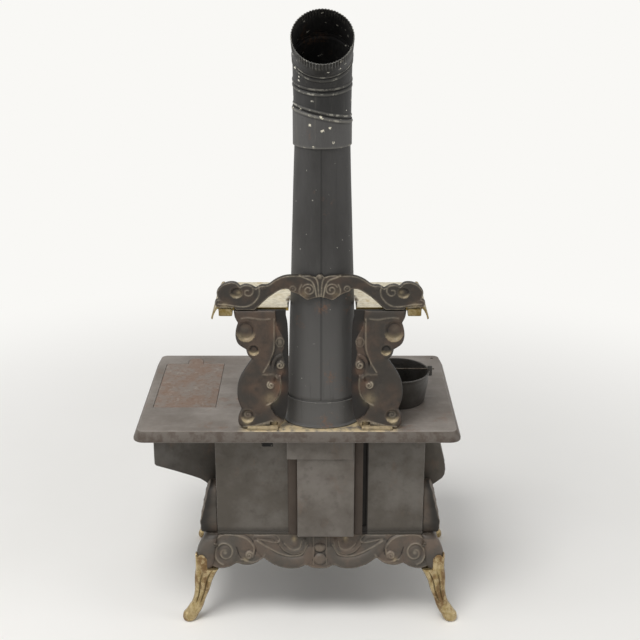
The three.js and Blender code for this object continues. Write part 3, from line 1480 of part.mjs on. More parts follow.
const pipeOuter = collarInner - castGap;
const pipeStart = collarFootHeight;
addPiece('pipe', loft(
  [pipeRing(pipeStart, pipeOuter), pipeRing(collarHeight + castGap, pipeOuter),
    pipeRing(collarHeight + castGap + sheetWall, 0), pipeRing(pipeTaperHeight, 0),
    pipeRing(pipeTaperHeight + pipeSpigot, 0)],
  [pipeRing(pipeStart, pipeOuter - sheetWall), pipeRing(collarHeight + sheetWall * 2, pipeOuter - sheetWall),
    pipeRing(collarHeight + sheetWall * 3, -sheetWall), pipeRing(pipeTaperHeight, -sheetWall),
    pipeRing(pipeTaperHeight + pipeSpigot, -sheetWall)],
), sheetIron);

// Adjustable elbow: a collar, two gores and a crimped end, which turn on three round seams
function discRing(centre, normal, radius, shift) {
  const spin = new THREE.Quaternion().setFromUnitVectors(new THREE.Vector3(0, 0, 1), normal);
  const ring = ellipseRing(0, 0, 0, radius, radius, pipeSides);
  const middle = centre.clone().add(shift);
  return ring.map((point) => point.applyQuaternion(spin).add(middle));
}

// Where the flat crown of a bead starts and ends, as shares of the bead's width
const beadCrownShares = [0.35, 0.65];

// A sheet tube between two seam planes, with a bead beside each end that has one
function makeGore(start, end, axis, beads, radii, straight = 0) {
  const shift = (distance) => axis.clone().multiplyScalar(distance);
  const outer = [];
  const inner = [];
  const [startRadius, endRadius] = radii;
  outer.push(discRing(start.centre, start.normal, startRadius, shift(seamGap / 2)));
  if (beads[0]) {
    for (const share of beadCrownShares) {
      outer.push(discRing(start.centre, start.normal, startRadius + elbowBead,
        shift(elbowBeadWidth * share)));
    }
    outer.push(discRing(start.centre, start.normal, startRadius, shift(elbowBeadWidth)));
  }
  if (straight > 0) {
    outer.push(discRing(start.centre, start.normal, startRadius, shift(straight)));
  }
  if (beads[1]) {
    outer.push(discRing(end.centre, end.normal, endRadius, shift(-elbowBeadWidth)));
    for (const share of [...beadCrownShares].reverse()) {
      outer.push(discRing(end.centre, end.normal, endRadius + elbowBead, shift(-elbowBeadWidth * share)));
    }
  }
  outer.push(discRing(end.centre, end.normal, endRadius, shift(-seamGap / 2)));
  inner.push(discRing(start.centre, start.normal, startRadius - sheetWall, shift(seamGap / 2)));
  if (straight > 0) {
    inner.push(discRing(start.centre, start.normal, startRadius - sheetWall, shift(straight)));
  }
  inner.push(discRing(end.centre, end.normal, endRadius - sheetWall, shift(-seamGap / 2)));
  return loft(outer, inner);
}

function tilted(degreesBack, degreesLeft = 0) {
  const back = THREE.MathUtils.degToRad(degreesBack);
  const left = THREE.MathUtils.degToRad(degreesLeft);
  return new THREE.Vector3(-Math.sin(left), Math.sin(back) * Math.cos(left), Math.cos(back) * Math.cos(left));
}

const up = tilted(0);
const elbowBase = new THREE.Vector3(pipeX, pipeY, pipeFoot + pipeTaperHeight);
const seamTurn = {
  centre: elbowBase.clone().addScaledVector(up, elbowCollarHeight),
  normal: tilted(0, seamTurnTilt),
};
const seamLow = {
  centre: seamTurn.centre.clone().addScaledVector(up, goreOneLength),
  normal: tilted(goreTilt),
};
const axisTwo = tilted(goreTilt * 2);
const seamHigh = {
  centre: seamLow.centre.clone().addScaledVector(axisTwo, goreTwoLength),
  normal: tilted(goreTilt * 3),
};
const axisEnd = tilted(goreTilt * 4);
const elbowRim = {
  centre: seamHigh.centre.clone().addScaledVector(axisEnd, elbowEndLength),
  normal: axisEnd,
};
const collarRadius = pipeTopRadius + castGap + sheetWall;

addPiece('elbow_collar', makeGore({ centre: elbowBase, normal: up }, seamTurn, up, [false, true],
  [collarRadius, collarRadius], pipeSpigot + castGap), sheetIron);
addPiece('elbow_gore_1', makeGore(seamTurn, seamLow, up, [true, true],
  [collarRadius, elbowRadius]), sheetIron);
addPiece('elbow_gore_2', makeGore(seamLow, seamHigh, axisTwo, [true, true],
  [elbowRadius, elbowRadius]), sheetIron);
addPiece('elbow_end', makeGore(seamHigh, elbowRim, axisEnd, [true, false],
  [elbowRadius, elbowRimRadius]), sheetIron);

// The origin is on the floor, under the middle of the whole stove
const limits = new THREE.Box3().setFromObject(stove);
stove.position.set(-(limits.min.x + limits.max.x) / 2, -(limits.min.y + limits.max.y) / 2, -limits.min.z);

export default stove;
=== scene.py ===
"""Cast iron toy range with a high shelf, a stovepipe, a kettle and a water reservoir.

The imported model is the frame: every finished piece takes its size and place from it.
Working sizes are in millimetres and become metres when a mesh is made.
"""
import math

import bmesh
import bpy
import numpy as np
from bpy.props import FloatProperty, FloatVectorProperty, IntProperty, PointerProperty
from bpy.types import Operator, Panel, PropertyGroup
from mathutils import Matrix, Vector
from mathutils.geometry import delaunay_2d_cdt


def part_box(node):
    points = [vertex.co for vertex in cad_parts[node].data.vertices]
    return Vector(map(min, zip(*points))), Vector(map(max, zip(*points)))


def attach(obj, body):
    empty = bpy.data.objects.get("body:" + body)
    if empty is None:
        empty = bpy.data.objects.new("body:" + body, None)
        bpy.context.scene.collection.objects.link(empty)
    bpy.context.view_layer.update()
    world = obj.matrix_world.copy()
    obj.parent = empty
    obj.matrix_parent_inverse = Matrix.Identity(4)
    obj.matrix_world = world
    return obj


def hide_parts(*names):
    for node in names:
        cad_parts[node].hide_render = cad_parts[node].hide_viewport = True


bl_info = {
    "name": "Toy Cooking Range",
    "version": (1, 0, 0),
    "blender": (4, 5, 0),
    "location": "View3D > Sidebar > Range",
    "description": "Dresses the castings, sheet metal and plating of a toy cooking range",
    "category": "Object",
}

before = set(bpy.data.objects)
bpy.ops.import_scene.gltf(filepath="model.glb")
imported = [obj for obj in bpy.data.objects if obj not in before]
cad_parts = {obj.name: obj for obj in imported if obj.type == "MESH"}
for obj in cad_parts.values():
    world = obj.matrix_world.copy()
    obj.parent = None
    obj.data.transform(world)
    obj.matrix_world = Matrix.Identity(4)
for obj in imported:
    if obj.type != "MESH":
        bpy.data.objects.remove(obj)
MM = 0.001


def size_of(node):
    """The lowest and the highest corner of a node, in millimetres."""
    low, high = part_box(node)
    return np.array(low) / MM, np.array(high) / MM


def middle_of(node):
    """The middle of a node's box, in millimetres."""
    low, high = size_of(node)
    return (low + high) / 2


def half_of(node):
    """Half of a node's size along each axis, in millimetres."""
    low, high = size_of(node)
    return (high - low) / 2


STOVE = "stove"
CENTRE_X = middle_of("crest")[0]
TOP_Z = size_of("cooktop")[1][2]
PIPE_X, PIPE_Y = middle_of("elbow_collar")[:2]

# Painted shade on the back panel: the dark slot's middle, half width and ends below the panel's top, and the
# widths of the shaded moulding and of the moulding with its groove
SLOT_X = CENTRE_X + 73.8
SLOT_HALF = 8
SLOT_FOOT, SLOT_HEAD = 31, 8.5
MOULDING = 13.5
MOULDING_AND_GROOVE = 20

# Dust on the cooktop: it starts and is full at these distances from the middle
DUST_FROM, DUST_FULL = 116, 92


# Colours and settings that a user may change


def tone(red, green, blue):
    """A colour given as it is seen, from 0 to 255, as the shader's own linear colour."""
    parts = [channel / 255 for channel in (red, green, blue)]
    return tuple(part / 12.92 if part <= 0.04045 else ((part + 0.055) / 1.055) ** 2.4 for part in parts)


def colour_property(label, description, value):
    """A colour field of the sidebar."""
    return FloatVectorProperty(
        name=label, description=description, subtype="COLOR", size=3, min=0, max=1, default=value
    )


class RangeColours(PropertyGroup):
    """Colours of the metals."""

    iron: colour_property("Iron", "Plain castings of the body", tone(93, 87, 79))
    # lighter than the iron: partly wear, partly a painted reflection of the sky on the upper face
    top: colour_property("Cooktop", "Worn top plate", tone(120, 112, 104))
    scroll: colour_property("Scrollwork", "Dark ornament castings", tone(70, 64, 57))
    sheet: colour_property("Stovepipe", "Painted sheet iron", tone(66, 64, 62))
    brass: colour_property("Brass plating", "Legs and shelf edges", tone(176, 154, 104))
    nickel: colour_property("Nickel plating", "Shelf and handles", tone(214, 204, 178))
    rust: colour_property("Rust", "Rusty cover and stains", tone(116, 84, 62))
    dust: colour_property("Dust", "Dust in the hollows", tone(204, 184, 144))


class RangeSizes(PropertyGroup):
    """Sizes of the surface detail, in millimetres."""

    relief_step: FloatProperty(
        name="Relief step", description="Distance between a relief's points", default=0.95, min=0.6, max=3
    )
    edge_round: FloatProperty(
        name="Edge rounding", description="Radius on plain castings' edges", default=0.7, min=0.1, max=2
    )
    bead: FloatProperty(
        name="Bead", description="Height of the beads at the elbow's seams", default=1.0, min=0, max=3
    )
    crimp_depth: FloatProperty(
        name="Crimp depth", description="Depth of the rim's crimps", default=1.1, min=0, max=2
    )
    crimp_length: FloatProperty(
        name="Crimp length", description="Length of the rim's crimps", default=17, min=2, max=30
    )
    crimp_count: IntProperty(name="Crimps", description="Crimps round the rim", default=62, min=12, max=120)


# Finishes


def feed(tree, socket, value):
    """Sets an input to a number, a colour or another node's output."""
    if isinstance(value, bpy.types.NodeSocket):
        tree.links.new(value, socket)
    elif isinstance(value, (tuple, list)) and len(value) == 3 and len(socket.default_value) == 4:
        socket.default_value = (*value, 1)
    else:
        socket.default_value = value


def add_node(tree, kind, given=None, **settings):
    """A new node with some of its inputs and settings."""
    node = tree.nodes.new(kind)
    for key, value in settings.items():
        setattr(node, key, value)
    for key, value in (given or {}).items():
        feed(tree, node.inputs[key], value)
    return node


def maths(tree, operation, *values, clamped=False):
    """Arithmetic on numbers and other nodes' outputs."""
    given = dict(enumerate(values))
    return add_node(tree, "ShaderNodeMath", given, operation=operation, use_clamp=clamped).outputs["Value"]


def seen_directly(tree):
    """1 for what the camera sees, also in a shiny or through a clear surface."""
    path = add_node(tree, "ShaderNodeLightPath").outputs
    seen = maths(tree, "MAXIMUM", path["Is Camera Ray"], path["Is Glossy Ray"])
    return maths(tree, "MAXIMUM", seen, path["Is Transmission Ray"])


class Finish:
    """A node material that is built step by step."""

    def __init__(self, name, metallic=0.0, specular=0.5):
        self.material = bpy.data.materials.new(name)
        self.material.use_nodes = True
        self.tree = self.material.node_tree
        self.tree.nodes.clear()
        given = {"Metallic": metallic, "Specular IOR Level": specular}
        self.shader = self.add("ShaderNodeBsdfPrincipled", given)
        self.output = self.add("ShaderNodeOutputMaterial", {"Surface": self.shader.outputs["BSDF"]})
        self.place = self.add("ShaderNodeTexCoord").outputs["Object"]

    def add(self, kind, given=None, **settings):
        """A new node with some of its inputs and settings."""
        return add_node(self.tree, kind, given, **settings)

    def mapped(self, stretch, offset):
        """Object coordinates, moved and stretched."""
        given = {"Location": offset, "Scale": stretch, "Vector": self.place}
        return self.add("ShaderNodeMapping", given).outputs["Vector"]

    def noise(self, scale, detail=4.0, grain=0.55, stretch=(1, 1, 1), offset=(0, 0, 0)):
        """Soft spots, with the scale in spots per metre."""
        place = self.mapped(stretch, offset)
        given = {"Scale": scale, "Detail": detail, "Roughness": grain, "Vector": place}
        return self.add("ShaderNodeTexNoise", given).outputs["Fac"]

    def cells(self, scale, stretch, offset):
        """Distance to scattered points, for chips and pits."""
        given = {"Scale": scale, "Vector": self.mapped(stretch, offset)}
        return self.add("ShaderNodeTexVoronoi", given).outputs["Distance"]

    def attribute(self, name):
        """A value that the piece carries at each of its points."""
        return self.add("ShaderNodeAttribute", attribute_name=name).outputs["Fac"]

    def step(self, value, low, high, top=1.0):
        """A smooth rise from 0 to top between two values."""
        given = {"From Min": low, "From Max": high, "To Max": top, "Value": value}
        return self.add("ShaderNodeMapRange", given, interpolation_type="SMOOTHSTEP").outputs["Result"]

    def scale_to(self, value, low, high):
        """A value from 0 to 1 turned into one between two others."""
        given = {"To Min": low, "To Max": high, "Value": value}
        return self.add("ShaderNodeMapRange", given).outputs["Result"]

    def times(self, first, second):
        """The product of two values."""
        return maths(self.tree, "MULTIPLY", first, second)

    def plus(self, first, second):
        """The sum of two values, at most 1."""
        return maths(self.tree, "ADD", first, second, clamped=True)

    def mix(self, share, first, second):
        """Two colours mixed by a share."""
        given = {"Factor": share, "A": first, "B": second}
        return self.add("ShaderNodeMix", given, data_type="RGBA").outputs["Result"]

    def axis(self, letter):
        """One of the three object coordinates."""
        return self.add("ShaderNodeSeparateXYZ", {"Vector": self.place}).outputs[letter]

    def fade(self, letter, low, high, top=1.0):
        """A smooth rise from 0 to top along an object coordinate, between two places in millimetres."""
        return self.step(self.axis(letter), low * MM, high * MM, top)

    def between(self, letter, low, high, soft):
        """1 where an object coordinate lies between two values in millimetres, with soft ends."""
        place = self.axis(letter)
        rising = self.step(place, (low - soft / 2) * MM, (low + soft / 2) * MM)
        falling = self.step(place, (high + soft / 2) * MM, (high - soft / 2) * MM)
        return self.times(rising, falling)

    def marked(self, name, spots, low, least):
        """A piece's own mark, thinned where the spots are low."""
        return self.times(self.attribute(name), self.scale_to(self.step(spots, low, 0.6), least, 1.0))

    def worn_edges(self, radius):
        """High where a sharp edge is near."""
        eased = self.add("ShaderNodeBevel", {"Radius": radius * MM}, samples=4).outputs["Normal"]
        plain = self.add("ShaderNodeNewGeometry").outputs["Normal"]
        alike = self.add("ShaderNodeVectorMath", {0: eased, 1: plain}, operation="DOT_PRODUCT")
        return self.step(alike.outputs["Value"], 0.995, 0.9)

    def bump(self, height, depth):
        """Fine unevenness, with its depth in millimetres."""
        uneven = self.add("ShaderNodeBump", {"Distance": depth * MM, "Height": height})
        feed(self.tree, self.shader.inputs["Normal"], uneven.outputs["Normal"])

    def done(self, colour, roughness):
        """Gives the shader its colour and roughness."""
        feed(self.tree, self.shader.inputs["Base Color"], colour)
        feed(self.tree, self.shader.inputs["Roughness"], roughness)
        return self.material


def darker(colour, share):
    """A colour with less light."""
    return tuple(channel * share for channel in colour)


def blended(first, second, share):
    """A fixed mixture of two colours."""
    return tuple(a + (b - a) * share for a, b in zip(first, second))


def panel_shadows(finish, colour, base, rust, shade):
    """Painted shadow under the cooktop and along the foot of the back, and painted shade on its mouldings,
    in its groove and in its slot.
    """
    (_, face, low), (_, _, high) = size_of("back_panel")
    under = finish.fade("Z", high - 34, high - 2, shade)
    foot = finish.fade("Z", low + 9, low + 1, 0.75)
    colour = finish.mix(finish.plus(under, foot), colour, darker(base, 0.4))
    behind = finish.fade("Y", face - 1, face)
    box_low, box_high = size_of("flue_box")[0][0], size_of("flue_box")[1][0]
    stripes = (
        # from, to, strength, darkness: painted shade on the two mouldings and in the groove beyond one of
        # them
        (box_low - MOULDING, box_low, 0.9, 0.4),
        (box_high, box_high + MOULDING, 0.9, 0.46),
        (box_low - MOULDING_AND_GROOVE, box_low - MOULDING + 0.9, 0.97, 0.06),
    )
    for first, last, share, depth in stripes:
        within = finish.times(finish.between("X", first, last, 1.2), behind)
        colour = finish.mix(finish.times(within, share), colour, darker(blended(base, rust, 0.3), depth))
    # painted shade: a ragged black patch for the slot's dark opening
    ragged = finish.times(finish.step(finish.noise(140, 4, 0.6), 0.36, 0.46), behind)
    slot = finish.times(finish.between("X", SLOT_X - SLOT_HALF, SLOT_X + SLOT_HALF, 1.6), ragged)
    slot = finish.times(slot, finish.between("Z", high - SLOT_FOOT, high - SLOT_HEAD, 1.4))
    return finish.mix(slot, colour, darker(base, 0.05))


def iron_finish(name, base, rust, rust_share=0.25, edge=1.6, sheen=0.55, shade=0.0):
    """Plain cast iron: mottled, sandy, stained and rubbed bright on its edges."""
    finish = Finish(name, metallic=0.2, specular=0.35)
    clouds = finish.noise(13, 5, 0.62)
    spots = finish.noise(70, 5, 0.62, offset=(0.3, 0.1, 0.7))
    grain = finish.noise(900, 3, 0.6)
    colour = finish.mix(finish.step(clouds, 0.36, 0.66), darker(base, 0.82), blended(base, (1, 1, 1), 0.04))
    colour = finish.mix(finish.step(spots, 0.5, 0.74, 0.45), colour, darker(base, 0.62))
    stain = finish.step(finish.noise(23, 6, 0.68, offset=(0.9, 0.2, 0.4)), 0.66 - rust_share * 0.3, 0.8)
    fleck = finish.step(finish.noise(260, 4, 0.7), 0.4, 0.7)
    colour = finish.mix(finish.times(stain, fleck), colour, rust)
    worn = finish.step(finish.noise(34, 6, 0.7, stretch=(1, 1, 0.5), offset=(0.2, 0.9, 0.1)), 0.56, 0.7, 0.4)
    colour = finish.mix(worn, colour, blended(base, rust, 0.4))
    rubbed = finish.times(finish.worn_edges(edge), finish.step(spots, 0.3, 0.6))
    colour = finish.mix(finish.times(rubbed, 0.6), colour, blended(base, (1, 0.97, 0.92), 0.3))
    # painted shadow and shade on the back panel
    if shade:
        colour = panel_shadows(finish, colour, base, rust, shade)
    finish.bump(finish.plus(finish.times(grain, 0.6), spots), 0.24)
    return finish.done(colour, finish.scale_to(spots, sheen - 0.1, sheen + 0.25))


def scroll_finish(name, base, dust, rust, dust_and_light, line):
    """Ornament castings: painted shade in the grooves and dips, dust in the dips that is partly painted
    light on the cups' lower walls, and wear with painted highlights on the thin lines.
    """
    finish = Finish(name, metallic=0.2, specular=0.42)
    clouds = finish.noise(28, 5, 0.62)
    spots = finish.noise(150, 4, 0.6, offset=(0.2, 0.5, 0.1))
    colour = finish.mix(finish.step(clouds, 0.38, 0.66), darker(base, 0.8), blended(base, rust, 0.22))
    colour = finish.mix(finish.step(spots, 0.5, 0.72, 0.35), colour, darker(base, 0.66))
    # painted shade in the grooves, the dips, the sunk web and the bolt's bay
    colour = finish.mix(finish.step(finish.attribute("hollow"), 0.1, 0.85, 0.93), colour, darker(base, 0.12))
    # dust, and painted light in the dust's colour on the cups' lower walls and in the crest's big cup
    dust_and_light_share = finish.marked("dust_and_light", spots, 0.3, 0.5)
    colour = finish.mix(finish.times(dust_and_light_share, dust_and_light), colour, dust)
    rusted = finish.marked("rusty", clouds, 0.4, 0.5)
    colour = finish.mix(rusted, colour, darker(rust, 0.9))
    # wear, and painted highlights on the thin lines, rims and bosses
    rubbed = finish.marked("crown", spots, 0.36, 0.45)
    light = blended(blended(base, dust, 0.5), (1, 1, 1), 0.12)
    colour = finish.mix(finish.times(rubbed, line), colour, light)
    finish.bump(finish.plus(finish.times(finish.noise(800, 3, 0.6), 0.5), spots), 0.16)
    return finish.done(colour, finish.scale_to(spots, 0.36, 0.68))


def plating_finish(name, base, worn, dark, wear, gloss, trim=None, shine=0.75):
    """Old plating: bright where it lasts, brown where it has gone, with painted shade in the grooves."""
    finish = Finish(name, metallic=shine)
    clouds = finish.noise(26, 6, 0.66, stretch=(1, 1, 0.45))
    spots = finish.noise(150, 5, 0.66, offset=(0.6, 0.1, 0.3))
    gone = finish.step(clouds, 0.6 - wear * 0.16, 0.66 - wear * 0.1)
    gone = finish.times(gone, finish.step(spots, 0.3, 0.5))
    colour = finish.mix(finish.step(spots, 0.4, 0.66), blended(base, (1, 1, 0.94), 0.1), darker(base, 0.78))
    stained = finish.step(finish.noise(48, 6, 0.7, offset=(0.1, 0.4, 0.8)), 0.52, 0.62, 0.6)
    colour = finish.mix(stained, colour, blended(base, worn, 0.7))
    colour = finish.mix(finish.times(gone, 0.85), colour, worn)
    if trim is not None:
        back = size_of("shelf")[1][1] - 10.3
        colour = finish.mix(finish.fade("Y", back - 0.9, back - 0.3), colour, trim)
    # painted shade in the leg's flutes, on the tabs behind the skirts and in the shelf's relief and notch
    colour = finish.mix(finish.step(finish.attribute("hollow"), 0.15, 0.9, 0.9), colour, dark)
    finish.bump(finish.plus(clouds, spots), 0.2)
    return finish.done(colour, finish.scale_to(gone, gloss, 0.6))


def sheet_finish(name, base, chip, rust, chips):
    """Painted sheet iron: dust at its foot, streaks, chips down to bare metal and a little rust; darker
    along its seams, painted shade beside its beads and in its crimps, and painted highlights on its bead
    tops and crimp ridges.
    """
    finish = Finish(name, metallic=0.15, specular=0.35)
    clouds = finish.noise(16, 6, 0.64, stretch=(1, 1, 0.4))
    streaks = finish.noise(60, 5, 0.68, stretch=(3, 3, 0.16))
    spots = finish.noise(300, 3, 0.6)
    foot = size_of("pipe_collar")[0][2]
    level = finish.fade("Z", foot + 320, foot + 40) if name == "pipe_sheet" else 0.0
    pale = blended(base, (1, 0.97, 0.92), 0.062)
    colour = finish.mix(finish.step(clouds, 0.34, 0.68), darker(base, 0.84), blended(base, (1, 1, 1), 0.014))
    colour = finish.mix(level, colour, pale)
    colour = finish.mix(finish.step(streaks, 0.54, 0.72, 0.22), colour, blended(base, chip, 0.22))
    colour = finish.mix(finish.step(streaks, 0.44, 0.28, 0.3), colour, darker(base, 0.6))
    stain = finish.times(finish.step(finish.noise(11, 5, 0.7), 0.58, 0.7), finish.step(spots, 0.4, 0.6))
    colour = finish.mix(finish.times(stain, 0.7), colour, rust)
    ragged = maths(finish.tree, "SUBTRACT", finish.noise(260, 4, 0.75), 0.4, clamped=True)
    cells = finish.cells(78, (1, 1, 1.2), (0.4, 0.2, 0.9))
    ragged = finish.plus(cells, finish.times(ragged, 1.1))
    flake = finish.step(ragged, 0.13 + chips * 0.09, 0.08 + chips * 0.09)
    chipped = finish.step(finish.noise(24, 3, 0.6, offset=(0.2, 0.6, 0.3)), 0.38, 0.46)
    flake = finish.times(flake, chipped)
    worn = finish.step(finish.noise(95, 5, 0.7), 0.54, 0.6)
    # wear, and painted highlights on the bead tops and crimp ridges
    rubbed = finish.times(finish.attribute("crown"), finish.scale_to(worn, 0.22, 1.0))
    colour = finish.mix(finish.plus(flake, finish.times(rubbed, 0.62)), colour, chip)
    # darker along the seams, and painted shade beside the beads and in the crimps
    colour = finish.mix(finish.attribute("hollow"), colour, darker(base, 0.25))
    if name == "collar_sheet":
        rim = finish.fade("Z", foot + 4.5, foot + 0.5)
        colour = finish.mix(finish.times(rim, finish.scale_to(worn, 0.4, 1.0)), colour, chip)
    uneven = finish.plus(finish.times(clouds, 0.8), finish.times(spots, 0.3))
    finish.bump(uneven, 0.35)
    return finish.done(colour, finish.scale_to(streaks, 0.42, 0.7))


def top_finish(name, base, dust, rust):
    """The cooktop: worn iron, lighter on its upper face partly as a painted reflection of the sky, with dust
    along its back edge and round the foot of the pipe.
    """
    finish = Finish(name, metallic=0.2, specular=0.3)
    clouds = finish.noise(9, 7, 0.66)
    spots = finish.noise(75, 6, 0.66, offset=(0.5, 0.3, 0.1))
    scuffs = finish.noise(40, 5, 0.7, stretch=(0.25, 2.5, 1))
    above = finish.fade("Z", TOP_Z - 1.6, TOP_Z - 0.6)
    worn = blended(base, (1, 0.99, 0.96), 0.06)
    colour = finish.mix(finish.step(clouds, 0.36, 0.66), darker(base, 0.8), worn)
    colour = finish.mix(finish.step(scuffs, 0.54, 0.72, 0.4), colour, blended(base, (1, 1, 1), 0.14))
    stain = finish.step(finish.noise(19, 6, 0.7, offset=(0.1, 0.8, 0.2)), 0.52, 0.7)
    colour = finish.mix(finish.times(stain, finish.step(spots, 0.38, 0.62, 0.8)), colour, rust)
    # darker, browner side faces under a lighter upper face: partly rust and wear, partly a painted
    # reflection of the sky on the upper face
    brown = darker(blended(base, rust, 0.25), 0.46)
    side = finish.mix(finish.step(spots, 0.42, 0.66), darker(base, 0.66), brown)
    colour = finish.mix(above, side, colour)
    back = size_of("shelf_bracket_left")[0][1]
    edge = size_of("cooktop")[1][1]
    near_back = finish.fade("Y", back - 20, back + 4)
    beyond = finish.fade("Y", edge - 2, edge - 7)
    left = finish.fade("X", CENTRE_X - DUST_FROM, CENTRE_X - DUST_FULL)
    right = finish.fade("X", CENTRE_X + DUST_FROM, CENTRE_X + DUST_FULL)
    strip = finish.times(finish.times(near_back, beyond), finish.times(left, right))
    strip = finish.times(finish.times(strip, above), finish.step(spots, 0.34, 0.56, 0.85))
    colour = finish.mix(strip, colour, dust)
    rubbed = finish.times(finish.worn_edges(1.4), finish.step(spots, 0.36, 0.58))
    colour = finish.mix(finish.times(rubbed, 0.5), colour, blended(base, (1, 1, 1), 0.35))
    finish.bump(finish.plus(finish.times(finish.noise(700, 3, 0.6), 0.5), spots), 0.24)
    return finish.done(colour, finish.scale_to(spots, 0.46, 0.74))


def cover_finish(name, base, rust):
    """The reservoir cover: matt brown rust with darker and lighter islands."""
    finish = Finish(name, metallic=0.05)
    clouds = finish.noise(34, 8, 0.74)
    spots = finish.noise(150, 6, 0.72, offset=(0.7, 0.4, 0.2))
    colour = finish.mix(finish.step(clouds, 0.4, 0.6), blended(base, rust, 0.05), blended(base, rust, 0.5))
    colour = finish.mix(finish.step(spots, 0.5, 0.66, 0.5), colour, darker(rust, 0.8))
    pale = finish.step(finish.noise(80, 6, 0.72, offset=(0.3, 0.3, 0.6)), 0.56, 0.68, 0.5)
    colour = finish.mix(pale, colour, blended(base, (1, 0.9, 0.78), 0.16))
    finish.bump(finish.plus(spots, finish.noise(600, 3, 0.6)), 0.35)
    return finish.done(colour, finish.scale_to(spots, 0.66, 0.9))


def plain_finish(name, base, second, roughness, metallic, scale=60):
    """Pieces inside the stove and small fasteners."""
    finish = Finish(name, metallic=metallic)
    spots = finish.noise(scale, 5, 0.62)
    grain = finish.noise(700, 3, 0.6)
    colour = finish.mix(finish.step(spots, 0.35, 0.7), base, second)
    finish.bump(finish.plus(spots, grain), 0.2)
    return finish.done(colour, finish.scale_to(grain, roughness - 0.08, roughness + 0.12))


FINISHES = {}


def finish_of(name):
    """A finish by its name, made on first use."""
    if name not in FINISHES:
        FINISHES[name] = make_finish(name)
    return FINISHES[name]


def make_finish(name):
    """Makes one of the stove's finishes from the sidebar's colours."""
    colours = bpy.context.scene.range_colours
    iron, top, scroll, sheet = map(tuple, (colours.iron, colours.top, colours.scroll, colours.sheet))
    brass, nickel, rust, dust = map(tuple, (colours.brass, colours.nickel, colours.rust, colours.dust))
    trim, bronze = tone(150, 128, 70), tone(112, 84, 54)
    olive, yellowed = tone(112, 94, 54), tone(190, 172, 130)
    cloudy = blended(darker(sheet, 0.9), (1, 1, 1), 0.016)
    makers = {
        # maker, what it takes in order, what it takes by name
        "body_iron": (iron_finish, (iron, rust), {"shade": 0.5}),
        "flue_iron": (iron_finish, (blended(iron, top, 0.36), rust, 0.15), {}),
        # a darker copy of the iron: painted shade on the reservoir casing
        "casing_iron": (iron_finish, (darker(iron, 0.66), rust, 0.15), {}),
        "kettle_iron": (iron_finish, (darker(iron, 0.36), rust, 0.1), {"edge": 0.9, "sheen": 0.45}),
        "lid_iron": (iron_finish, (blended(iron, top, 0.7), rust, 0.2), {"edge": 0.9}),
        "top_iron": (top_finish, (top, dust, rust), {}),
        "scroll_iron": (scroll_finish, (darker(scroll, 0.74), dust, rust, 0.85, 0.95), {}),
        "crest_iron": (scroll_finish, (darker(scroll, 0.62), dust, rust, 0.6, 0.72), {}),
        "skirt_iron": (scroll_finish, (blended(scroll, iron, 0.55), dust, rust, 0.5, 0.6), {}),
        "end_iron": (scroll_finish, (blended(scroll, iron, 0.5), dust, rust, 0.4, 0.35), {}),
        "cover_rust": (cover_finish, (top, rust), {}),
        "pipe_sheet": (sheet_finish, (darker(sheet, 0.56), tone(150, 148, 140), rust, 0.1), {}),
        "collar_sheet": (sheet_finish, (cloudy, tone(214, 208, 188), rust, 1.1), {}),
        "elbow_sheet": (sheet_finish, (darker(sheet, 0.27), tone(212, 208, 194), rust, 0.95), {}),
        "leg_brass": (plating_finish, (brass, bronze, tone(80, 64, 32), 0.75, 0.2), {"shine": 0.7}),
        "shelf_nickel": (plating_finish, (nickel, yellowed, tone(78, 64, 44), 0.3, 0.3, trim), {}),
        "shelf_brass": (plating_finish, (darker(trim, 0.8), olive, tone(60, 48, 30), 0.6, 0.4), {}),
        "handle_nickel": (plating_finish, (nickel, tone(150, 138, 112), tone(80, 70, 52), 0.35, 0.26), {}),
        "screw_steel": (plain_finish, (tone(104, 98, 90), tone(66, 56, 46), 0.45, 0.8, 240), {}),
        "bolt_iron": (plain_finish, (tone(78, 52, 40), tone(120, 104, 84), 0.7, 0.2, 300), {}),
        "grey_iron": (plain_finish, (darker(iron, 0.6), darker(iron, 0.35), 0.7, 0.4), {}),
        "oven_sheet": (plain_finish, (darker(sheet, 1.1), darker(sheet, 0.6), 0.55, 0.5), {}),
        "tank_tin": (plain_finish, (tone(150, 148, 140), tone(110, 104, 94), 0.42, 0.8), {}),
        "lining_clay": (plain_finish, (tone(112, 92, 78), tone(62, 52, 46), 0.9, 0.05, 90), {}),
    }
    maker, given, named = makers[name]
    return maker(name, *given, **named)


# Curves, distances and meshes

SHARP_ANGLE = 38
EASED_ANGLE = 30


def smooth_line(points, steps):
    """Points on a rounded curve through the given points."""
    given = np.array(points, float)
    if len(given) < 3:
        return given
    first = 2 * given[0] - given[1]
    last = 2 * given[-1] - given[-2]
    held = np.vstack([first, given, last])
    line = []
    for k in range(len(given) - 1):
        p0, p1, p2, p3 = held[k:k + 4]
        pairs = ((p0, p1), (p1, p2), (p2, p3))
        t0, t1, t2, t3 = np.cumsum([0] + [max(np.linalg.norm(b - a), 1e-6) ** 0.5 for a, b in pairs])
        for t in t1 + (t2 - t1) * np.arange(steps) / steps:
            a1 = ((t1 - t) * p0 + (t - t0) * p1) / (t1 - t0)
            a2 = ((t2 - t) * p1 + (t - t1) * p2) / (t2 - t1)
            a3 = ((t3 - t) * p2 + (t - t2) * p3) / (t3 - t2)
            b1 = ((t2 - t) * a1 + (t - t0) * a2) / (t2 - t0)
            b2 = ((t3 - t) * a2 + (t - t1) * a3) / (t3 - t1)
            line.append(((t2 - t) * b1 + (t - t1) * b2) / (t2 - t1))
    line.append(given[-1])
    return np.array(line)


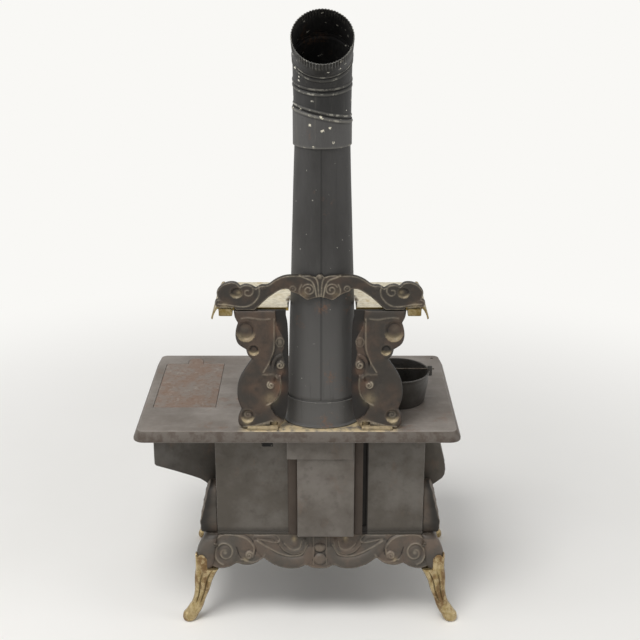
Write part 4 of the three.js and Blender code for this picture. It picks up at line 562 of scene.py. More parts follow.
def spaced(line, spacing):
    """A line's points, set again at an even distance, with its ends kept."""
    lengths = np.linalg.norm(np.diff(line, axis=0), axis=1)
    along = np.concatenate([[0], np.cumsum(lengths)])
    count = max(int(round(along[-1] / spacing)), 1)
    places = np.linspace(0, along[-1], count + 1)
    return np.column_stack([np.interp(places, along, line[:, axis]) for axis in range(line.shape[1])])


def rounded_loop(loop, spacing, corner=32):
    """A closed outline with its curves refined and its corners kept."""
    before = loop - np.roll(loop, 1, axis=0)
    after = np.roll(loop, -1, axis=0) - loop
    cross = before[:, 0] * after[:, 1] - before[:, 1] * after[:, 0]
    turn = np.degrees(np.arctan2(cross, (before * after).sum(1)))
    corners = np.flatnonzero(np.abs(turn) > corner)
    if len(corners) == 0:
        corners = np.array([0])
    pieces = []
    for start, end in zip(corners, np.append(corners[1:], corners[0] + len(loop))):
        run = loop[np.arange(start, end + 1) % len(loop)]
        pieces.append(spaced(smooth_line(run, 4), spacing)[:-1])
    return np.vstack(pieces)


def distance_to(points, line, closed=False):
    """The distance of each point from a line."""
    line = np.vstack([line, line[:1]]) if closed else np.asarray(line, float)
    best = np.full(len(points), np.inf)
    for a, b in zip(line[:-1], line[1:]):
        run = b - a
        along = np.clip(((points - a) @ run) / max(run @ run, 1e-12), 0, 1)
        best = np.minimum(best, np.hypot(*(points - a - along[:, None] * run).T))
    return best


def inside(points, loop):
    """Which points lie inside a closed outline."""
    within = np.zeros(len(points), bool)
    x, y = points.T
    for (x0, y0), (x1, y1) in zip(loop, np.roll(loop, -1, axis=0)):
        if y0 != y1:
            crosses = (y0 > y) != (y1 > y)
            within ^= crosses & (x < (x1 - x0) * (y - y0) / (y1 - y0) + x0)
    return within


def spiral(centre, outer, inner, turns, start, direction):
    """A spiral from its outer end to its eye. Angles are in degrees."""
    count = int(abs(turns) * 24) + 2
    angle = math.radians(start) + direction * np.linspace(0, turns * 2 * math.pi, count)
    radius = np.linspace(outer, inner, count)
    return np.column_stack([centre[0] + radius * np.cos(angle), centre[1] + radius * np.sin(angle)])


def turn_outward(mesh):
    """Makes all faces of a closed mesh look outward."""
    shape = bmesh.new()
    shape.from_mesh(mesh)
    bmesh.ops.recalc_face_normals(shape, faces=shape.faces)
    shape.to_mesh(mesh)
    shape.free()


def placed_object(name, mesh):
    """A new object with its mesh, in the scene."""
    obj = bpy.data.objects.new(name, mesh)
    bpy.context.scene.collection.objects.link(obj)
    return obj


def smoothed(mesh, limit):
    """Smooth shading with sharp edges above a limit in degrees."""
    mesh.polygons.foreach_set("use_smooth", np.ones(len(mesh.polygons), bool))
    mesh.set_sharp_from_angle(angle=math.radians(limit))


def new_piece(name, points, faces, finish, body=STOVE, nodes=(), marks=None, tree=None):
    """A finished mesh from points in millimetres, riding on its body."""
    mesh = bpy.data.meshes.new(name)
    mesh.from_pydata((np.asarray(points) * MM).tolist(), [], [tuple(int(i) for i in face) for face in faces])
    turn_outward(mesh)
    for key, values in (marks or {}).items():
        values = np.asarray(values, np.float32)
        kind, field = ("FLOAT", "value") if values.ndim == 1 else ("FLOAT_VECTOR", "vector")
        mesh.attributes.new(key, kind, "POINT").data.foreach_set(field, values.ravel())
    obj = placed_object(name, mesh)
    if tree is not None:
        mesh = run_tree(obj, *tree)
        mesh.materials.clear()
    mesh.materials.append(finish_of(finish))
    smoothed(mesh, SHARP_ANGLE)
    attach(obj, body)
    if nodes:
        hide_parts(*nodes)
    return obj


def ring_skin(rings, closed=False):
    """Faces through rings of points. A closed row of rings is a tube with a wall."""
    rows, count = len(rings), len(rings[0])
    points = np.vstack(rings)
    faces = []
    for row in range(rows if closed else rows - 1):
        low, high = row * count, ((row + 1) % rows) * count
        for i in range(count):
            j = (i + 1) % count
            faces.append((low + i, low + j, high + j, high + i))
    if not closed:
        faces.append(tuple(reversed(range(count))))
        faces.append(tuple(range((rows - 1) * count, rows * count)))
    return points, faces


def oval(x, y, z, half_x, half_y, sides):
    """A level oval ring."""
    angle = 2 * math.pi * np.arange(sides) / sides
    return np.column_stack([x + half_x * np.cos(angle), y + half_y * np.sin(angle), np.full(sides, z)])


def rod(line, radius, sides):
    """A round bar along a line of points in space."""
    line = np.asarray(line, float)
    rings = []
    side = None
    for k, point in enumerate(line):
        ahead = line[min(k + 1, len(line) - 1)] - line[max(k - 1, 0)]
        ahead = ahead / np.linalg.norm(ahead)
        if side is None:
            side = np.cross(ahead, (0, 0, 1) if abs(ahead[2]) < 0.9 else (1, 0, 0))
        side = side - ahead * (side @ ahead)
        side = side / np.linalg.norm(side)
        other = np.cross(ahead, side)
        angle = 2 * math.pi * np.arange(sides) / sides
        rings.append(point + radius * (np.outer(np.cos(angle), side) + np.outer(np.sin(angle), other)))
    return ring_skin(rings)


def open_edges(rings):
    """The edges that only one of the rings has."""
    seen = {}
    for ring in rings:
        for a, b in zip(ring, ring[1:] + ring[:1]):
            if (b, a) in seen:
                del seen[(b, a)]
            else:
                seen[(a, b)] = True
    return list(seen)


def closed_loops(edges):
    """The edges joined end to end, as rings of points."""
    following = {}
    for a, b in edges:
        following.setdefault(a, []).append(b)
    loops = []
    while following:
        start = next(iter(following))
        loop = [start]
        while loop[-1] in following:
            choices = following[loop[-1]]
            step = choices.pop()
            if not choices:
                del following[loop[-1]]
            if step == start:
                break
            loop.append(step)
        loops.append(loop)
    return loops


def merged_copy(node):
    """A node's mesh with its loose triangles joined."""
    shape = bmesh.new()
    shape.from_mesh(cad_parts[node].data)
    bmesh.ops.remove_doubles(shape, verts=shape.verts, dist=0.00001)
    return shape


def eased_copy(name, node, finish, body, width, segments):
    """A casting of plain faces with its edges rounded."""
    shape = merged_copy(node)
    bmesh.ops.dissolve_limit(shape, angle_limit=math.radians(1), verts=shape.verts, edges=shape.edges)
    mesh = bpy.data.meshes.new(name)
    shape.to_mesh(mesh)
    shape.free()
    obj = placed_object(name, mesh)
    easing = obj.modifiers.new("Eased edges", "BEVEL")
    easing.width = width * MM
    easing.segments = segments
    easing.limit_method = "ANGLE"
    easing.angle_limit = math.radians(EASED_ANGLE)
    easing.harden_normals = False
    solid = bpy.data.meshes.new_from_object(obj.evaluated_get(bpy.context.evaluated_depsgraph_get()))
    obj.modifiers.clear()
    obj.data = solid
    smoothed(solid, EASED_ANGLE)
    solid.materials.clear()
    solid.materials.append(finish_of(finish))
    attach(obj, body)
    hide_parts(node)
    return obj


def paint_node(node, finish):
    """Gives a carried-over node its finish."""
    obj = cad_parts[node]
    obj.data.materials.clear()
    obj.data.materials.append(finish_of(finish))


# Relief castings

HIGHEST = -0.05
SMOOTHINGS = 14

# How far the modelled faces lie below the plain ones, and how thick the castings are
SKIRT_SUNK, SKIRT_DEEP = 4.6, 6
END_SUNK, END_DEEP = 3.4, 5.4
BRACKET_SUNK, BRACKET_DEEP = 4.2, 12
CREST_SUNK, CREST_DEEP = 3.6, 9.4


class Casting:
    """The face of a flat or bowed casting, read from its node: its outline and how far out it stands."""

    def __init__(self, node, facing, threshold=0.5):
        axis, sign = facing
        self.out_axis = axis
        self.sign = sign
        self.u_axis, self.v_axis = [other for other in range(3) if other != axis]
        shape = merged_copy(node)
        shape.normal_update()
        facing_out = [face for face in shape.faces if face.normal[axis] * sign > threshold]
        rings = [[vertex.index for vertex in face.verts] for face in facing_out]
        outer = set()
        for ring in rings:
            outer.update(ring)
        shape.verts.ensure_lookup_table()
        place = {index: np.array(shape.verts[index].co) / MM for index in outer}
        shape.free()
        loops = closed_loops(open_edges(rings))
        flat = [self.u_axis, self.v_axis]
        loops = [np.array([place[i][flat] for i in loop]) for loop in loops if len(loop) > 2]
        self.outline = max(loops, key=lambda loop: abs(self.area(loop)))
        if self.area(self.outline) < 0:
            self.outline = self.outline[::-1]
        heights = np.array(sorted((p[self.v_axis], p[axis] * sign) for p in place.values()))
        self.levels = heights[:, 0]
        self.standing = heights[:, 1]

    @staticmethod
    def area(loop):
        """Twice the signed area of a loop."""
        after = np.roll(loop, -1, axis=0)
        return float((loop[:, 0] * after[:, 1] - after[:, 0] * loop[:, 1]).sum())

    def surface(self, v):
        """How far out the face stands at each height."""
        levels, first = np.unique(np.round(self.levels, 2), return_index=True)
        return np.interp(v, levels, self.standing[first])

    def place(self, uv, out):
        """Points in space from places on the face and how far out they stand."""
        points = np.zeros((len(uv), 3))
        points[:, self.u_axis] = uv[:, 0]
        points[:, self.v_axis] = uv[:, 1]
        points[:, self.out_axis] = out * self.sign
        return points


def filled(outline, spacing):
    """Triangles that fill an outline: points, faces and the edges of the rim."""
    low, high = outline.min(0), outline.max(0)
    rise = spacing * math.sqrt(3) / 2
    rows = np.arange(low[1] + rise / 2, high[1], rise)
    lines = [np.arange(low[0] + (k % 2) * spacing / 2, high[0], spacing) for k in range(len(rows))]
    grid = np.vstack([np.column_stack([line, np.full(len(line), row)]) for line, row in zip(lines, rows)])
    grid = grid[inside(grid, outline)]
    grid = grid[distance_to(grid, outline, True) > spacing * 0.45]
    corners = [Vector(point) for point in np.vstack([outline, grid])]
    count = len(outline)
    edges = [(i, (i + 1) % count) for i in range(count)]
    verts, _, faces, _, _, _ = delaunay_2d_cdt(corners, edges, [], 1, 1e-5)
    points = np.array([tuple(v) for v in verts])
    return points, [tuple(face) for face in faces], open_edges([list(face) for face in faces])


def double_skin(faces, rim, count):
    """The faces of a front, its copy behind it and the wall between them."""
    skin = list(faces)
    skin += [tuple(i + count for i in reversed(face)) for face in faces]
    skin += [(b, a, a + count, b + count) for a, b in rim]
    return skin


def hollows(points, faces, height):
    """How deep each point lies in a dip, from 0 to 1; the finishes paint shade by it."""
    tris = np.array(faces)
    pairs = np.vstack([tris[:, [0, 1]], tris[:, [1, 2]], tris[:, [2, 0]]])
    level = height.copy()
    number = np.bincount(pairs.ravel(), minlength=len(points))
    for _ in range(SMOOTHINGS):
        total = np.zeros(len(points))
        np.add.at(total, pairs[:, 0], level[pairs[:, 1]])
        np.add.at(total, pairs[:, 1], level[pairs[:, 0]])
        level = 0.5 * level + 0.5 * total / np.maximum(number, 1)
    return np.clip((level - height) / 1.1, 0, 1)


def modelled_face(outline, modelled, sunk):
    """A filled and modelled face: its points and skin, the distance from the edge and the relief."""
    spacing = bpy.context.scene.range_sizes.relief_step
    loop = rounded_loop(outline, spacing)
    if Casting.area(loop) < 0:
        loop = loop[::-1]
    points, faces, rim = filled(loop, spacing)
    from_edge = distance_to(points, loop, True)
    relief = modelled(points, from_edge)
    relief.height = np.minimum(relief.height - sunk, HIGHEST)
    # painted shade: the dips and the dark marks such as the bracket's web
    relief.hollow = np.maximum(hollows(points, faces, relief.height), relief.dark)
    return points, double_skin(faces, rim, len(points)), from_edge, relief


def relief_piece(name, casting, modelled, sunk, depth, finish, slot, node, back=None):
    """A casting with a modelled face, which lies below the plain face of its node by up to sunk."""
    points, skin, from_edge, relief = modelled_face(casting.outline, modelled, sunk)
    front = casting.surface(points[:, 1]) + relief.height
    rounding = 0.8 * np.clip(1 - from_edge / 1.4, 0, 1) ** 2
    behind = casting.surface(points[:, 1]) - depth + rounding
    if back is not None:
        behind = behind - back(points, from_edge)
    space = np.vstack([casting.place(points, front), casting.place(points, behind)])
    marks = {key: np.concatenate([value, value * 0]) for key, value in relief.marks().items()}
    return new_piece(name, space, skin, finish, STOVE, (node,), marks=marks)


# Ornament, in millimetres. Across is measured from the middle of the stove, up from the foot of the casting.


class Relief:
    """A modelled face: its height, rubbed lines with painted highlights, dust with painted light, painted
    shade and rust at each point.
    """

    def __init__(self, points, from_edge, edge, rise):
        self.points = points
        share = np.clip(from_edge / edge, 0, 1)
        self.height = rise * np.sqrt(1 - (1 - share) ** 2)
        self.glint = np.zeros(len(points))
        self.dust = np.zeros(len(points))
        # painted shade, such as the black of a sunk web
        self.dark = np.zeros(len(points))
        self.rust = np.zeros(len(points))
        self.hollow = self.dark

    def bands(self, table):
        """Bands given by their line, half width and height."""
        for line, width, top in table:
            self.band(line, width, top)

    def threads(self, table):
        """Thin rubbed lines given by their line and light."""
        for line, light in table:
            self.thread(line, light)

    def marks(self):
        """What the finish reads at each point."""
        return {"hollow": self.hollow, "crown": self.glint, "dust_and_light": self.dust, "rusty": self.rust}

    def away(self, line):
        """The distance of each point from a rounded line."""
        return distance_to(self.points, smooth_line(line, 5))

    def band(self, line, width, top):
        """A broad half-round band."""
        ridge = top * np.sqrt(np.clip(1 - (self.away(line) / width) ** 2, 0, 1))
        self.height = np.maximum(self.height, ridge)

    def thread(self, line, light, width=0.95, top=0.8):
        """A thin line that stands on the ground, rubbed and carrying a painted highlight."""
        self.line_at(self.away(line), light, width, top)

    def line_at(self, away, light, width=0.95, top=0.8):
        """A thin line, rubbed and carrying a painted highlight, given by the distance from it."""
        ridge = np.exp(-(away / width) ** 2)
        self.height = self.height + ridge * top
        self.glint = np.maximum(self.glint, ridge * light)

    def groove(self, line, width=1.1, depth=1.0):
        """A narrow dark groove."""
        self.height = self.height - depth * np.exp(-(self.away(line) / width) ** 2)

    def curl(self, centre, outer, inner, turns, start, direction=1, light=0.6, width=0.95, top=0.9):
        """A spiral line."""
        line = spiral(centre, outer, inner, turns, start, direction)
        self.line_at(distance_to(self.points, line), light, width, top)

    def ball(self, x, y, half_x, half_y, top, light=0.0):
        """A round boss on the ground, with a painted highlight on its top by its light."""
        share = ((self.points - (x, y)) / (half_x, half_y)) ** 2
        boss = np.clip(1 - share.sum(1), 0, 1) ** 0.5
        self.height = np.maximum(self.height, self.height * 0.4 + boss * top)
        self.glint = np.maximum(self.glint, light * boss ** 2)

    def cup(self, x, y, half_x, half_y, depth, dust, rim, light, wall):
        """A dish with a thin rim that carries a painted highlight, and painted light in the dust's colour on
        its lower wall.
        """
        offset = (self.points - (x, y)) / (half_x, half_y)
        around = np.sqrt((offset ** 2).sum(1))
        within = np.clip(1 - around ** 2, 0, 1)
        self.height = self.height - (self.height + depth) * within ** wall
        self.line_at(np.abs(around - 1.06) * (half_x + half_y) / 2, light, 1.1, rim)
        # painted light on the lower wall, where light from above falls
        lower = np.clip(-offset[:, 1] * 1.6 - 0.1, 0, 1) * np.clip(around * 1.5 - 0.25, 0, 1)
        self.dust = np.maximum(self.dust, dust * lower * (around < 1.02))

    def sink(self, loop, depth, soft):
        """Lowers the ground inside a closed outline."""
        loop = smooth_line([*loop, loop[0]], 5)
        share = np.clip(distance_to(self.points, loop) / soft, 0, 1) * inside(self.points, loop)
        self.height = self.height - depth * share

    def patch(self, x, y, reach, amount, rusty=False):
        """Dust or rust round a place; in the crest's big cup the same dust colour stands for a painted
        highlight.
        """
        away = np.hypot(self.points[:, 0] - x, self.points[:, 1] - y)
        spot = amount * np.exp(-(away / reach) ** 2)
        if rusty:
            self.rust = np.maximum(self.rust, spot)
        else:
            self.dust = np.maximum(self.dust, spot)


SKIRT_BANDS = (
    # line, half width and height
    (((90, 30), (80, 20), (69, 12), (51, 5.4), (34, 4.6), (20, 9), (14, 20)), 8.4, 4.2),
    (((58, 34), (51, 24), (37, 19), (25, 24), (22, 36)), 3.6, 3.4),
    (((94, 40), (80, 40.5), (66, 39), (61, 34)), 3.2, 3),
    (((13, 4), (12.8, 26), (13.2, 44)), 2.4, 3),
)
SKIRT_THREADS = (
    # line and light
    (((153, 6), (155, 15), (154.4, 24), (150.6, 35.8), (139, 42.6),
      (121, 42.6), (104.4, 37), (95, 25), (96.8, 12.5)), 0.5),
    (((113.4, 9), (98, 5), (85.3, 9), (79, 17)), 0.45),
    (((90, 35.5), (74, 25.5), (57.2, 17.2), (42, 13.6), (26.5, 16.5), (18.4, 29)), 0.5),
    (((58, 29), (49.5, 20.6), (37, 16.4), (24, 21.4), (19.6, 33.4)), 0.3),
    (((51, 31), (44, 24.5), (36.5, 22.4), (29, 25.5), (26.5, 34)), 0.4),
    (((98, 44), (80, 44.6), (62, 42), (58, 36), (62, 32.6), (75, 34), (90, 38)), 0.3),
    (((80, 6), (65, 1.2)), 0.3),
    (((9.6, 2), (9.2, 26), (9.8, 45)), 0.3),
)
SKIRT_GROOVES = (
    ((156.5, 20), (152.6, 38), (139, 45), (120, 45), (102, 39.4), (92.5, 26), (93, 16)),
    ((120, 26), (116.5, 15), (110, 6)),
)

BRACKET_DRAWN = (113, 171.4)
BRACKET_PAD = (57, 99, 2.9, 4.9)
BRACKET_RUNS = (
    # the outline in runs that meet in corners, as shares of the bracket's reach and rise
    ((1.01, 1), (1, 0.945), (0.965, 0.895)),
    ((0.965, 0.895), (0.99, 0.84), (0.995, 0.775), (0.965, 0.72), (0.875, 0.675)),
    ((0.875, 0.675), (0.855, 0.63), (0.81, 0.595)),
    ((0.81, 0.595), (0.9, 0.508), (0.965, 0.425), (0.99, 0.34), (0.985, 0.25), (0.945, 0.17)),
    ((0.945, 0.17), (0.985, 0.1), (0.98, 0.035), (0.93, 0)),
    ((0.93, 0), (0.5, 0)),
    ((0.5, 0), (0.45, 0.05), (0.41, 0.12), (0.39, 0.22), (0.378, 0.34), (0.376, 0.45)),
    ((0.376, 0.45), (0.374, 0.56), (0.374, 0.68), (0.376, 0.8)),
    ((0.376, 0.8), (0.385, 0.9), (0.4, 0.95)),
    ((0.4, 0.95), (0.4, 1)),
    ((0.4, 1), (1.01, 1)),
)
BOLT_X = middle_of("bracket_bolt_right")[0] - CENTRE_X
BRACKET_WEB = (
    # up and across, along the edge of the sunk web
    (0, 44), (12, 50), (20, 60), (29, 66), (36, 67), (41, 62), (46, 57.5), (60, 53), (78, 51.6), (84, 48.6),
    (94, 46.6), (104, 49), (112, 50), (118, 48.4), (126, 47.4), (134, 49.6), (142, 54), (150, 57), (171, 59),
)


def bracket_web(up):
    """The edge of the sunk web beside the pipe, at each height."""
    return np.interp(up, *zip(*BRACKET_WEB))


BRACKET_LOW = ((46, 160), (60, 158), (60.6, 136), (61.4, 116), (68, 99), (66, 88), (57, 76), (44, 84))
BRACKET_LEAF = (
    (80, 79), (86.5, 66), (85, 48), (77, 36), (69, 33), (60, 40), (53, 52), (52, 66), (56, 74), (68, 78),
)
BRACKET_BANDS = (
    # line, half width and height
    (((53.5, 107), (59.5, 103), (63.4, 93), (62.4, 82), (58, 77)), 3, 3),
    (((88.2, 15), (76, 17.5), (68, 24), (71, 33), (62, 39), (56, 47), (53.4, 60), (54, 76)), 3.4, 3),
)
BRACKET_FOOT = ((104, 2.6), (90, 4), (76, 8), (66, 11.4))
BRACKET_PATCHES = (
    # across, up, reach, amount, and whether it is rust
    (60, 6, 6, 0.8, False),
    (50, 3, 6, 0.8, False),
    (100, 11, 4, 0.5, False),
    (67, 44, 8, 0.3, False),
    (52, 84, 6, 0.75, True),
    (56, 60, 9, 0.6, True),
    (62, 70, 6, 0.5, True),
    (96, 60, 8, 0.3, True),
    (60, 146, 7, 0.35, True),
)

CREST_THREADS = (
    # line and light
    (((134, 9), (122, 8), (108, 5.6), (98, 5.4), (90, 8.6), (84, 14.4), (80, 22), (80, 31), (84, 38)), 0.7),
    (((104, 38.5), (96, 37), (89, 32), (88, 25), (93, 20.4), (98.4, 22.4), (98, 27.4), (94, 28)), 0.55),
    (((27, 48), (20, 45), (11.4, 41), (7, 33), (5, 22), (2.4, 12)), 0.85),
    (((8.6, 48), (4.6, 43), (2.6, 36), (1.8, 24), (0, 12)), 0.75),
    (((24, 36), (27, 28), (24, 19), (14, 14), (4, 13)), 0.6),
)

END_BANDS = (
    # line, half width and height
    (((96, 8), (84, 15), (70, 20), (52, 22), (36, 19), (22, 13), (8, 10)), 5, 2.6),
    (((92, 26), (80, 32), (64, 35), (46, 34), (30, 29), (16, 22)), 4.4, 2.4),
    (((94, 46), (86, 53), (78, 62), (72, 70)), 5, 2.6),
    (((96, 64), (90, 72), (84, 80)), 4, 2.4),
)
END_THREADS = (
    # line and light
    (((94, 17), (80, 24), (64, 27.5), (46, 27), (30, 22.4), (14, 15)), 0.5),
    (((97, 36), (84, 43), (74, 50), (66, 50)), 0.5),
    (((99, 54), (91, 60), (85, 68), (82, 76)), 0.5),
    (((98, 4), (86, 7.4), (70, 10), (52, 10.6), (36, 8)), 0.35),
)

# Sections of a leg, as shares: height, outer edge and width across, the same in depth, squareness
LEG_SECTIONS = (
    (0, 0.8, 0.3, -0.18, 0.3, 1),
    (0.01, 0.9, 0.44, -0.1, 0.44, 1),
    (0.032, 0.98, 0.57, -0.06, 0.55, 1),
    (0.07, 1, 0.64, -0.05, 0.59, 1),
    (0.12, 0.96, 0.68, -0.06, 0.6, 1),
    (0.175, 0.8, 0.67, -0.08, 0.58, 0.95),
    (0.265, 0.56, 0.62, -0.1, 0.54, 0.9),
    (0.34, 0.37, 0.56, -0.115, 0.5, 0.85),
    (0.43, 0.24, 0.55, -0.12, 0.48, 0.8),
    (0.595, 0.13, 0.65, -0.08, 0.54, 0.7),
    (0.75, 0.12, 0.76, -0.03, 0.66, 0.65),
    (0.905, 0.07, 0.91, 0, 0.82, 0.6),
    (0.97, 0.02, 0.98, 0, 0.94, 0.55),
    (0.995, 0, 1, 0, 1, 0.55),
)
LEG_TOP_ACROSS = 34
LEG_TOP_DEEP = 32
LEG_SPLAY = 22
LEG_POST = 17.6
LEG_TAB = 14
SKIRT_FOOT = 4.5
FLOOR_X, FLOOR_Y = middle_of("bottom_plate")[:2]
SKIRT_LOW = size_of("skirt_back")[0][2]
SKIRTS = (("skirt_back", 1, 1), ("skirt_front", 1, -1), ("skirt_right", 0, 1), ("skirt_left", 0, -1))
LEG_CORNER = (size_of("skirt_right")[1][0] - FLOOR_X + 0.3, size_of("skirt_back")[1][1] - FLOOR_Y + 0.3)
CORNERS = (("back_right", 1, 1), ("back_left", -1, 1), ("front_right", 1, -1), ("front_left", -1, -1))


def superellipse(middle, half, square, sides):
    """A rounded rectangle ring: squareness 1 is an oval, less is squarer."""
    angle = 2 * math.pi * (np.arange(sides) + 0.5) / sides
    c, s = np.cos(angle), np.sin(angle)
    x = middle[0] + half[0] * np.sign(c) * np.abs(c) ** square
    y = middle[1] + half[1] * np.sign(s) * np.abs(s) ** square
    return np.column_stack([x, y])


def at_corner(points, sign_x, sign_y):
    """A shape made for the corner at the back right, moved to one of the four corners."""
    return points * (sign_x, sign_y, 1) + (FLOOR_X, FLOOR_Y, 0)


def leg_shape():
    """Rings and flute depths of the leg at the back right, before it is moved into place."""
    corner_x, corner_y = LEG_CORNER
    sides = 72
    rings = []
    hollow = []
    for height, out_x, wide_x, out_y, wide_y, square in smooth_line(LEG_SECTIONS, 5):
        half = np.array([wide_x * LEG_TOP_ACROSS, wide_y * LEG_TOP_DEEP]) / 2
        middle = np.array([corner_x + out_x * LEG_SPLAY, corner_y + out_y * LEG_TOP_DEEP]) - half
        ring = superellipse(middle, half, square, sides)
        offset = (ring - middle) / half
        fade = np.interp(height, (0.3, 0.42, 0.9, 0.985), (0, 1, 1, 0.4))
        depth = np.zeros(sides)
        for axis, other in ((0, 1), (1, 0)):
            facing = np.clip((offset[:, axis] - 0.55) / 0.3, 0, 1)
            for place in (-0.4, 0.34):
                groove = np.exp(-(((offset[:, other] - place) * half[other]) / 1.2) ** 2)
                depth = np.maximum(depth, groove * facing * fade)
        ring = ring - 1.3 * depth[:, None] * offset / np.linalg.norm(offset, axis=1)[:, None]
        rings.append(np.column_stack([ring, np.full(sides, height * SKIRT_LOW)]))
        hollow.append(depth)
    post = np.array([LEG_POST, LEG_POST]) / 2
    middle = np.array([corner_x, corner_y]) - 0.3 - post
    ring = superellipse(middle, post, 0.42, sides)
    arch = np.abs((ring - middle) / post).min(axis=1) ** 2
    for rise, shrink in ((0.4, 0), (15, 0), (23.4, 0), (24.6, 0.5), (25, 1.4)):
        smaller = superellipse(middle, post - shrink, 0.42, sides)
        level = SKIRT_LOW + rise - arch * 9 * min(rise / 15, 1)
        rings.append(np.column_stack([smaller, np.maximum(level, SKIRT_LOW + 0.4)]))
        hollow.append(np.full(sides, 0.12))
    return rings, np.concatenate(hollow)


def make_legs():
    """Four cabriole legs with a slipper toe, two flutes on each outer face and a tab behind the skirts."""
    rings, hollow = leg_shape()
    points, faces = ring_skin(rings)
    for corner, sign_x, sign_y in CORNERS:
        node = f"leg_{corner}"
        low, high = size_of(node)
        placed = at_corner(points, sign_x, sign_y)
        placed[:, :2] = np.clip(placed[:, :2], low[:2], high[:2])
        near_x = high[0] if sign_x < 0 else low[0]
        near_y = high[1] if sign_y < 0 else low[1]
        far = (near_x + sign_x * LEG_TAB, near_y + sign_y * LEG_TAB, high[2])
        tab = eased_box((near_x, near_y, SKIRT_LOW + 1), far, 0.8)
        space, skin, count = stacked([(placed, faces), tab])
        # the flutes and the tab behind the skirts carry painted shade
        marks = {"hollow": np.concatenate([hollow, np.ones(count - len(hollow))]), "crown": np.zeros(count)}
        new_piece(f"cabriole_{node}", space, skin, "leg_brass", STOVE, (node,), marks=marks)


CORNER_STEPS = (
    # up from the foot of the skirt, outer edge and inner edge inwards from the corner
    (1, 2.2, 24),
    (6, 1.7, 27.5),
    (14, 1.6, 29),
    (22, 1.6, 29.4),
    (26, 2.0, 29.6),
    (30, 3.4, 29.8),
    (35, 5.8, 30.4),
    (39, 8.0, 31),
    (43, 10.6, 32),
    (46.4, 13.6, 33.4),
    (48.4, 16.4, 35),
)


def make_corners():
    """The rounded corners of the skirts, which lap over the heads of the legs."""
    sides = 60
    rings = []
    for rise, outer, inner in smooth_line(CORNER_STEPS, 4):
        half = np.full(2, (inner - outer) / 2)
        middle = np.array(LEG_CORNER) - 0.3 - outer - half
        ring = superellipse(middle, half, 0.66, sides)
        rings.append(np.column_stack([ring, np.full(sides, SKIRT_LOW + rise)]))
    points, faces = ring_skin(rings)
    for corner, sign_x, sign_y in CORNERS:
        placed = at_corner(points, sign_x, sign_y)
        # painted shade along the top, under the body
        hollow = np.clip((placed[:, 2] - SKIRT_LOW - 42) / 5, 0, 0.5)
        marks = {"hollow": hollow, "crown": np.zeros(len(points)), "dust_and_light": np.zeros(len(points))}
        new_piece(f"skirt_corner_{corner}", placed, faces, "skirt_iron", marks=marks)


def mirrored(points, middle, foot):
    """Places measured from the middle outward and from the foot up, alike on both sides."""
    return np.column_stack([np.abs(points[:, 0] - middle), points[:, 1] - foot])


def skirt_relief(places, from_edge):
    """Volutes, swags, leaves and bulbs of a skirt."""
    relief = Relief(places, from_edge, 7, 1.8)
    relief.bands(SKIRT_BANDS)
    relief.ball(122, 31, 30, 14, 2.6)
    relief.ball(136.3, 18, 19, 20, 4.4)
    relief.ball(102, 15, 7.4, 7.4, 3)
    relief.ball(37, 32, 6, 6, 2.6)
    # the middle bulbs carry painted highlights
    relief.ball(0, 25.4, 8.6, 6.2, 4.8, 0.3)
    relief.ball(0, 9.6, 9.4, 8.4, 4.6, 0.15)
    relief.ball(0, 39, 6, 5, 3)
    for line in SKIRT_GROOVES:
        relief.groove(line)
    relief.threads(SKIRT_THREADS)
    around = np.hypot(places[:, 0] - 136.3, places[:, 1] - 20)
    relief.height = relief.height - 1.5 * np.exp(-((around - 10) / 3.4) ** 2)
    relief.curl((136.3, 19.4), 16.6, 3.8, 1.5, -80, 1, 0.6, 1.2, 1.3)
    relief.ball(136.3, 20, 3.4, 3.4, 4, 0.55)
    relief.curl((102, 15), 5.4, 1.4, 1.4, 150, -1, 0.7)
    relief.line_at(np.abs(from_edge - 1.5), 0.35, 0.9, 0.5)
    relief.patch(37, 38, 3, 0.9)
    relief.patch(107, 9, 3.4, 0.55)
    return relief


def make_skirts():
    """Four sloping skirts with volutes, swags and bulbs in relief."""
    for node, axis, sign in SKIRTS:
        casting = Casting(node, (axis, sign))
        middle = (FLOOR_X, FLOOR_Y)[casting.u_axis]
        scale = half_of(node)[casting.u_axis] / half_of("skirt_back")[0]

        def modelled(points, from_edge, middle=middle, scale=scale):
            return skirt_relief(mirrored(points, middle, SKIRT_LOW + SKIRT_FOOT) / (scale, 1), from_edge)

        looks = ("skirt_iron", "cast_iron", node)
        relief_piece(f"scrolled_{node}", casting, modelled, SKIRT_SUNK, SKIRT_DEEP, *looks)


def end_relief(places, from_edge):
    """Leaves on the end scrolls."""
    relief = Relief(places, from_edge, 5, 1.9)
    relief.bands(END_BANDS)
    across, up = places.T
    lumps = np.sin(across * 0.42 + up * 0.3) + np.sin(across * 0.19 - up * 0.4 + 1)
    relief.height = relief.height + 0.35 * lumps
    relief.threads(END_THREADS)
    relief.line_at(np.abs(from_edge - 1.5), 0.4, 0.9, 0.5)
    return relief


def make_end_scrolls():
    """Bowed leaf castings on the two ends, above the skirts. Their back meets the end panel."""
    for node, sign in (("end_scroll_right", 1), ("end_scroll_left", -1)):
        casting = Casting(node, (0, sign), 0.15)
        low, high = size_of(node)
        seat = (low[0] if sign > 0 else -high[0]) + 0.1

        def modelled(points, from_edge, low=low):
            return end_relief(mirrored(points, FLOOR_Y, low[2]), from_edge)

        def fill(points, from_edge, casting=casting, seat=seat):
            return np.clip(casting.surface(points[:, 1]) - END_DEEP - seat, 0, None)

        looks = ("end_iron", "dark_iron", node)
        relief_piece(f"leafy_{node}", casting, modelled, END_SUNK, END_DEEP, *looks, back=fill)


